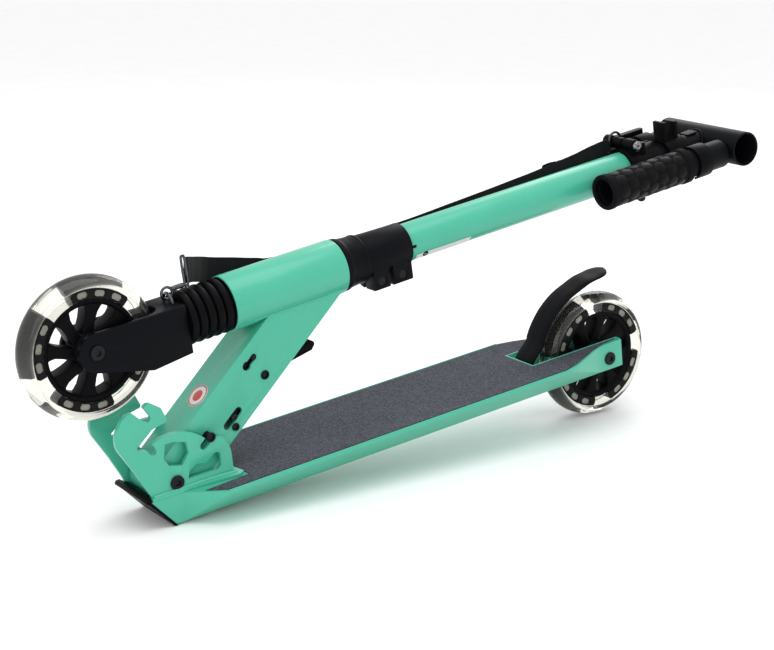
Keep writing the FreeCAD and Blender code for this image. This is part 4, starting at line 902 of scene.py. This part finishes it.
def build_strap():
    """Webbing from the snap hook to the ring on the clamp."""
    path = smooth_path([stop[:3] for stop in STRAP_ROUTE], STRAP_STEPS)
    verts = []
    rows = len(path)
    for index, point in enumerate(path):
        direction = heading(path, index)
        up = (Vector((0, 0, 1)) - direction * direction.z).normalized()
        side = direction.cross(up)
        near_ring = max(0.0, min(1.0, (index - rows + GATHER_ROWS + 1) / GATHER_ROWS))
        stop = min(index // STRAP_STEPS, len(STRAP_ROUTE) - 2)
        part = index / STRAP_STEPS - stop
        wide = STRAP_ROUTE[stop][3] * (1 - part) + STRAP_ROUTE[stop + 1][3] * part
        sag = 0.35 * math.sin(index * 0.9) * min(1.0, index / 10)
        for across, lift in STRAP_CUT:
            edge = 0.75 if abs(across) >= 1 else 1.0
            cup = 0.6 * near_ring * across ** 2
            depth = lift * STRAP_HALF_THICK * edge + cup + sag * 0.4
            verts.append(tuple(point + up * (across * wide) + side * depth))
    faces = tube_faces(rows, len(STRAP_CUT))
    strap = make("carry_webbing", COLUMN, [(verts, faces)], WEBBING, None, smooth=50)
    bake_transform(strap)
    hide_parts("carry_strap")
    frame_outline = rounded([(-389.0, -6.4), (-371.0, -6.4), (-371.0, 22.6), (-389.0, 22.6)],
                            2.6, 4)
    openings = [rounded([(low, -3.2), (low + 5.2, -3.2), (low + 5.2, 19.8), (low, 19.8)], 1.4)
                for low in (-387.0, -378.4)]
    slide = prism([frame_outline] + openings, -21.3, -19.9, 0.5)
    make("strap_slide", COLUMN, [slide], PLASTIC, "column")


# ---- fork ----------------------------------------------------------------------------------

FRONT_AXLE = (136.3, 0, 2.0)
STAPLE = 56
RING_STEPS = 24


def build_fork():
    soften("fork", "fork_crown_and_arms", SATIN_BLACK, "fork", 1.0)
    make("front_axle_heads", COLUMN, through_bolt(20.0, 2.0, 3.98, 6.4, 1.9, FRONT_AXLE),
         BLACK_OXIDE, "fork", ["front_axle"])
    eye = [(36.2, 0, 26.9), (34.6, 0, 28.4), (34.4, 0, 50.5), (36.0, 0, 52.8), (37.6, 0, 50.5),
           (37.8, 0, 28.4)]
    loop = [(STAPLE + 5.2 * math.cos(a), 0, 25.5 + 5.2 * math.sin(a))
            for a in (math.tau * i / RING_STEPS for i in range(RING_STEPS))]
    swivel = rounded([(38.0, 0.3), (51.0, 0.3), (51.0, 2.0), (47.0, 2.2), (41.0, 2.2),
                      (38.0, 1.6)], 0.4)
    hook = [wire(smooth_path(eye, 6, True), 1.15, True), wire(loop, 1.3, True),
            lathe(swivel, "X", 24, (0, 0, 28.0))]
    make("snap_hook_wire", COLUMN, hook, DARK_CHROME, "fork", ["snap_hook"])
    bow = [(STAPLE, 8.0 * math.sin(a), 17.5 + 8.0 * math.cos(a))
           for a in (math.radians(degrees) for degrees in range(-80, 81, 10))]
    arch = [(STAPLE, -8.0, 17.8)] + bow + [(STAPLE, 8.0, 17.8)]
    make("staple_wire", COLUMN, [wire(arch, 1.5)], DARK_CHROME, "fork", ["strap_staple"])


# ---- handlebar -----------------------------------------------------------------------------

GRIP_SIDE = 39.0
GRIP_DROP = -2.0
PAD_SIZE = 6.3
PAD_RISE = 0.5
PADS_AROUND = 8
CROSS_PLACE = (-567.0, 0, 0)
SADDLE_STEPS = 32


def hex_pads(radius, low, high):
    """Raised six-sided pads in staggered rows on the grip."""
    pads = []
    pitch = math.tau * radius / PADS_AROUND
    rows = int((high - low) / (pitch * 0.9))
    for row in range(rows):
        x = low + (row + 0.5) * (high - low) / rows
        for index in range(PADS_AROUND):
            centre = math.tau * (index + 0.5 * (row % 2)) / PADS_AROUND
            verts = []
            for level, scale in ((-0.3, 1.0), (PAD_RISE * 0.55, 1.0), (PAD_RISE, 0.86)):
                reach = scale * PAD_SIZE
                for corner in range(6):
                    angle = math.tau * (corner + 0.5) / 6
                    along = x + reach * math.cos(angle)
                    across = centre + reach * math.sin(angle) / radius
                    verts.append(spun(along, radius + level, across, "X"))
            verts.append(spun(x, radius + PAD_RISE + 0.15, centre, "X"))
            faces = grid_faces(3, 6, wrap_columns=True)
            faces += [(12 + i, 12 + (i + 1) % 6, 18) for i in range(6)]
            faces.append(tuple(range(6)))
            pads.append((verts, faces))
    return pads


def build_grip(side, sign):
    body = "grip_" + side
    at = (0, sign * GRIP_SIDE, GRIP_DROP)
    sleeve = rounded([(-500.0, 14.05), (-398.5, 14.05), (-398.5, 13.1), (-395.5, 13.1),
                      (-395.5, 16.8), (-396.7, 17.4), (-401.0, 17.4), (-402.0, 16.2),
                      (-491.5, 16.2), (-492.5, 17.5), (-499.3, 17.5), (-500.0, 16.6)], 0.4)
    end_wall = rounded([(-431.0, 0.3), (-429.0, 0.3), (-429.0, 12.15), (-431.0, 12.15)], 0.2, 2)
    make("grip_sleeve_" + side, COLUMN, [lathe(sleeve, "X", 72, at), lathe(end_wall, "X", 48, at)],
         GRIP_RUBBER, body, ["grip_rubber_" + side])
    pads = [shifted(pad, *at) for pad in hex_pads(16.2, -489.5, -403.5)]
    make("grip_pads_" + side, COLUMN, pads, HEX_RUBBER, body, smooth=25)
    tube = ring_profile(-548.0, -401.0, 12.2, 14.0, 0.5)
    make("grip_core_" + side, COLUMN, [lathe(tube, "X", 72, at)], SATIN_BLACK, body,
         ["grip_tube_" + side])
    button = rounded([(-21.0, 0.2), (-20.4, 2.6), (-19.0, 4.0), (-9.0, 4.1), (-9.0, 0.2)], 0.4)
    knob = turned(lathe(button, "X", 32), -90)
    make("snap_button_" + side, COLUMN, [shifted(knob, -442.0, sign * GRIP_SIDE, GRIP_DROP)],
         BLACK_OXIDE, "grip_button_" + side, ["grip_button_" + side])


def build_bar():
    inner = ring_profile(-553.5, -205.0, 12.2, 14.0, 0.3)
    saddle = []
    for step in range(SADDLE_STEPS):
        angle = math.tau * step / SADDLE_STEPS
        y = 14.4 * math.cos(angle)
        z = 14.4 * math.sin(angle)
        saddle.append((CROSS_PLACE[0] + math.sqrt(max(0.0, 17.4 ** 2 - z ** 2)), y, z))
    make("sliding_tube", COLUMN, [lathe(inner, "X", 96)], SATIN_BLACK, "t_bar", ["inner_tube"])
    weld = wire(saddle, 1.3, True, 10, 0.12)
    cross = ring_profile(-56.5, 56.5, 15.0, 17.0, 0.6)
    make("cross_bar", COLUMN, [lathe(cross, "Y", 96, CROSS_PLACE), weld], SATIN_BLACK, "t_bar",
         ["cross_tube"])
    soften("grip_clip", "grip_holder", PLASTIC, "t_bar", 0.8)
    gusset = prism([[(-551.0, 13.6), (-538.5, 13.6), (-538.5, 14.8), (-551.0, 15.4)]], -6.0, 6.0,
                   0.4)
    make("weld_gusset", COLUMN, [gusset], SATIN_BLACK, "t_bar")


# ---- everything ----------------------------------------------------------------------------

CARRIED = {
    "grip_tape": GRIT, "rear_spacers": STEEL, "brake_pin": STEEL, "brake_springs": STEEL,
    "neck_bushes": NYLON, "headset_bearings": STEEL, "lock_slider": BLACK_OXIDE, "steerer": STEEL,
    "spring_plug": NYLON, "clamp_bolts": BLACK_OXIDE, "tube_sleeve": NYLON,
    "strap_ring": DARK_CHROME, "front_spacers": STEEL, "rear_bearing_spacer": STEEL,
    "front_bearing_spacer": STEEL,
}


def dress_frame():
    """Give every frame node that stays visible a material."""
    for node, material in CARRIED.items():
        mesh = frame["nodes"][node].data
        mesh.materials.clear()
        mesh.materials.append(material)


def softbox(name, place, target, size, power):
    light = bpy.data.lights.new(name, "AREA")
    light.shape = "RECTANGLE"
    light.size = size[0]
    light.size_y = size[1]
    light.energy = power
    lamp = bpy.data.objects.new(name, light)
    lamp.location = place
    lamp.rotation_euler = (Vector(target) - Vector(place)).to_track_quat("-Z", "Y").to_euler()
    bpy.context.scene.collection.objects.link(lamp)


FLOOR_HALF = 6.0
FLOOR_LEVEL = -0.0006


def studio():
    """White floor, three soft lights and a bright surround."""
    floor_material = surface("studio_floor", linear(250, 250, 250), linear(246, 246, 247),
                             (0.6, 0.7), 40.0, 0.02)
    mesh = bpy.data.meshes.new("floor")
    corners = [(FLOOR_HALF * x, FLOOR_HALF * y, FLOOR_LEVEL)
               for x, y in ((-1, -1), (1, -1), (1, 1), (-1, 1))]
    mesh.from_pydata(corners, [], [(0, 1, 2, 3)])
    mesh.materials.append(floor_material)
    floor = bpy.data.objects.new("floor", mesh)
    bpy.context.scene.collection.objects.link(floor)
    world = bpy.data.worlds.new("studio")
    world.use_nodes = True
    background = world.node_tree.nodes["Background"]
    background.inputs["Color"].default_value = (1.0, 1.0, 1.0, 1.0)
    background.inputs["Strength"].default_value = 1.0
    bpy.context.scene.world = world
    centre = (0.0, 0.0, 0.12)
    softbox("overhead", (0.1, 0.2, 1.7), centre, (1.6, 1.2), 12.0)
    softbox("front_left", (1.5, 1.3, 0.9), centre, (1.0, 1.0), 4.0)
    softbox("back_right", (-1.3, -1.0, 1.2), centre, (0.8, 1.2), 7.0)
    bpy.context.scene.view_settings.view_transform = "Standard"


CAMERA_PLACE = (0.9676, 1.36966, 0.59591)
CAMERA_AZIMUTH = 34.47
CAMERA_ELEVATION = 15.417
CAMERA_ROLL = -0.527
CAMERA_LENS = 87.43
CAMERA_SHIFT = (0.0042, -0.0076)


def camera():
    """Camera at the catalogue view: azimuth from the left side towards the front."""
    azimuth = math.radians(CAMERA_AZIMUTH)
    elevation = math.radians(CAMERA_ELEVATION)
    back = Vector((math.sin(azimuth) * math.cos(elevation),
                   math.cos(azimuth) * math.cos(elevation), math.sin(elevation)))
    right = Vector((0, 0, 1)).cross(back).normalized()
    upward = back.cross(right)
    roll = math.radians(CAMERA_ROLL)
    x_axis = right * math.cos(roll) + upward * math.sin(roll)
    y_axis = upward * math.cos(roll) - right * math.sin(roll)
    turn = Matrix((x_axis, y_axis, back)).transposed().to_4x4()
    data = bpy.data.cameras.new("camera")
    data.sensor_width = 36.0
    data.lens = CAMERA_LENS
    data.shift_x, data.shift_y = CAMERA_SHIFT
    data.clip_end = 20.0
    eye = bpy.data.objects.new("camera", data)
    eye.matrix_world = Matrix.Translation(CAMERA_PLACE) @ turn
    bpy.context.scene.collection.objects.link(eye)
    bpy.context.scene.camera = eye


build_wheel("rear", DECK, spoke_phase=50.0, core_phase=44.0, core_span=34.0)
build_wheel("front", FRONT_WHEEL, spoke_phase=94.0, core_phase=19.0, core_span=31.0)
build_deck()
build_brake()
build_neck()
build_suspension()
build_column()
build_strap()
build_fork()
build_bar()
build_grip("left", 1)
build_grip("right", -1)
dress_frame()
studio()
camera()
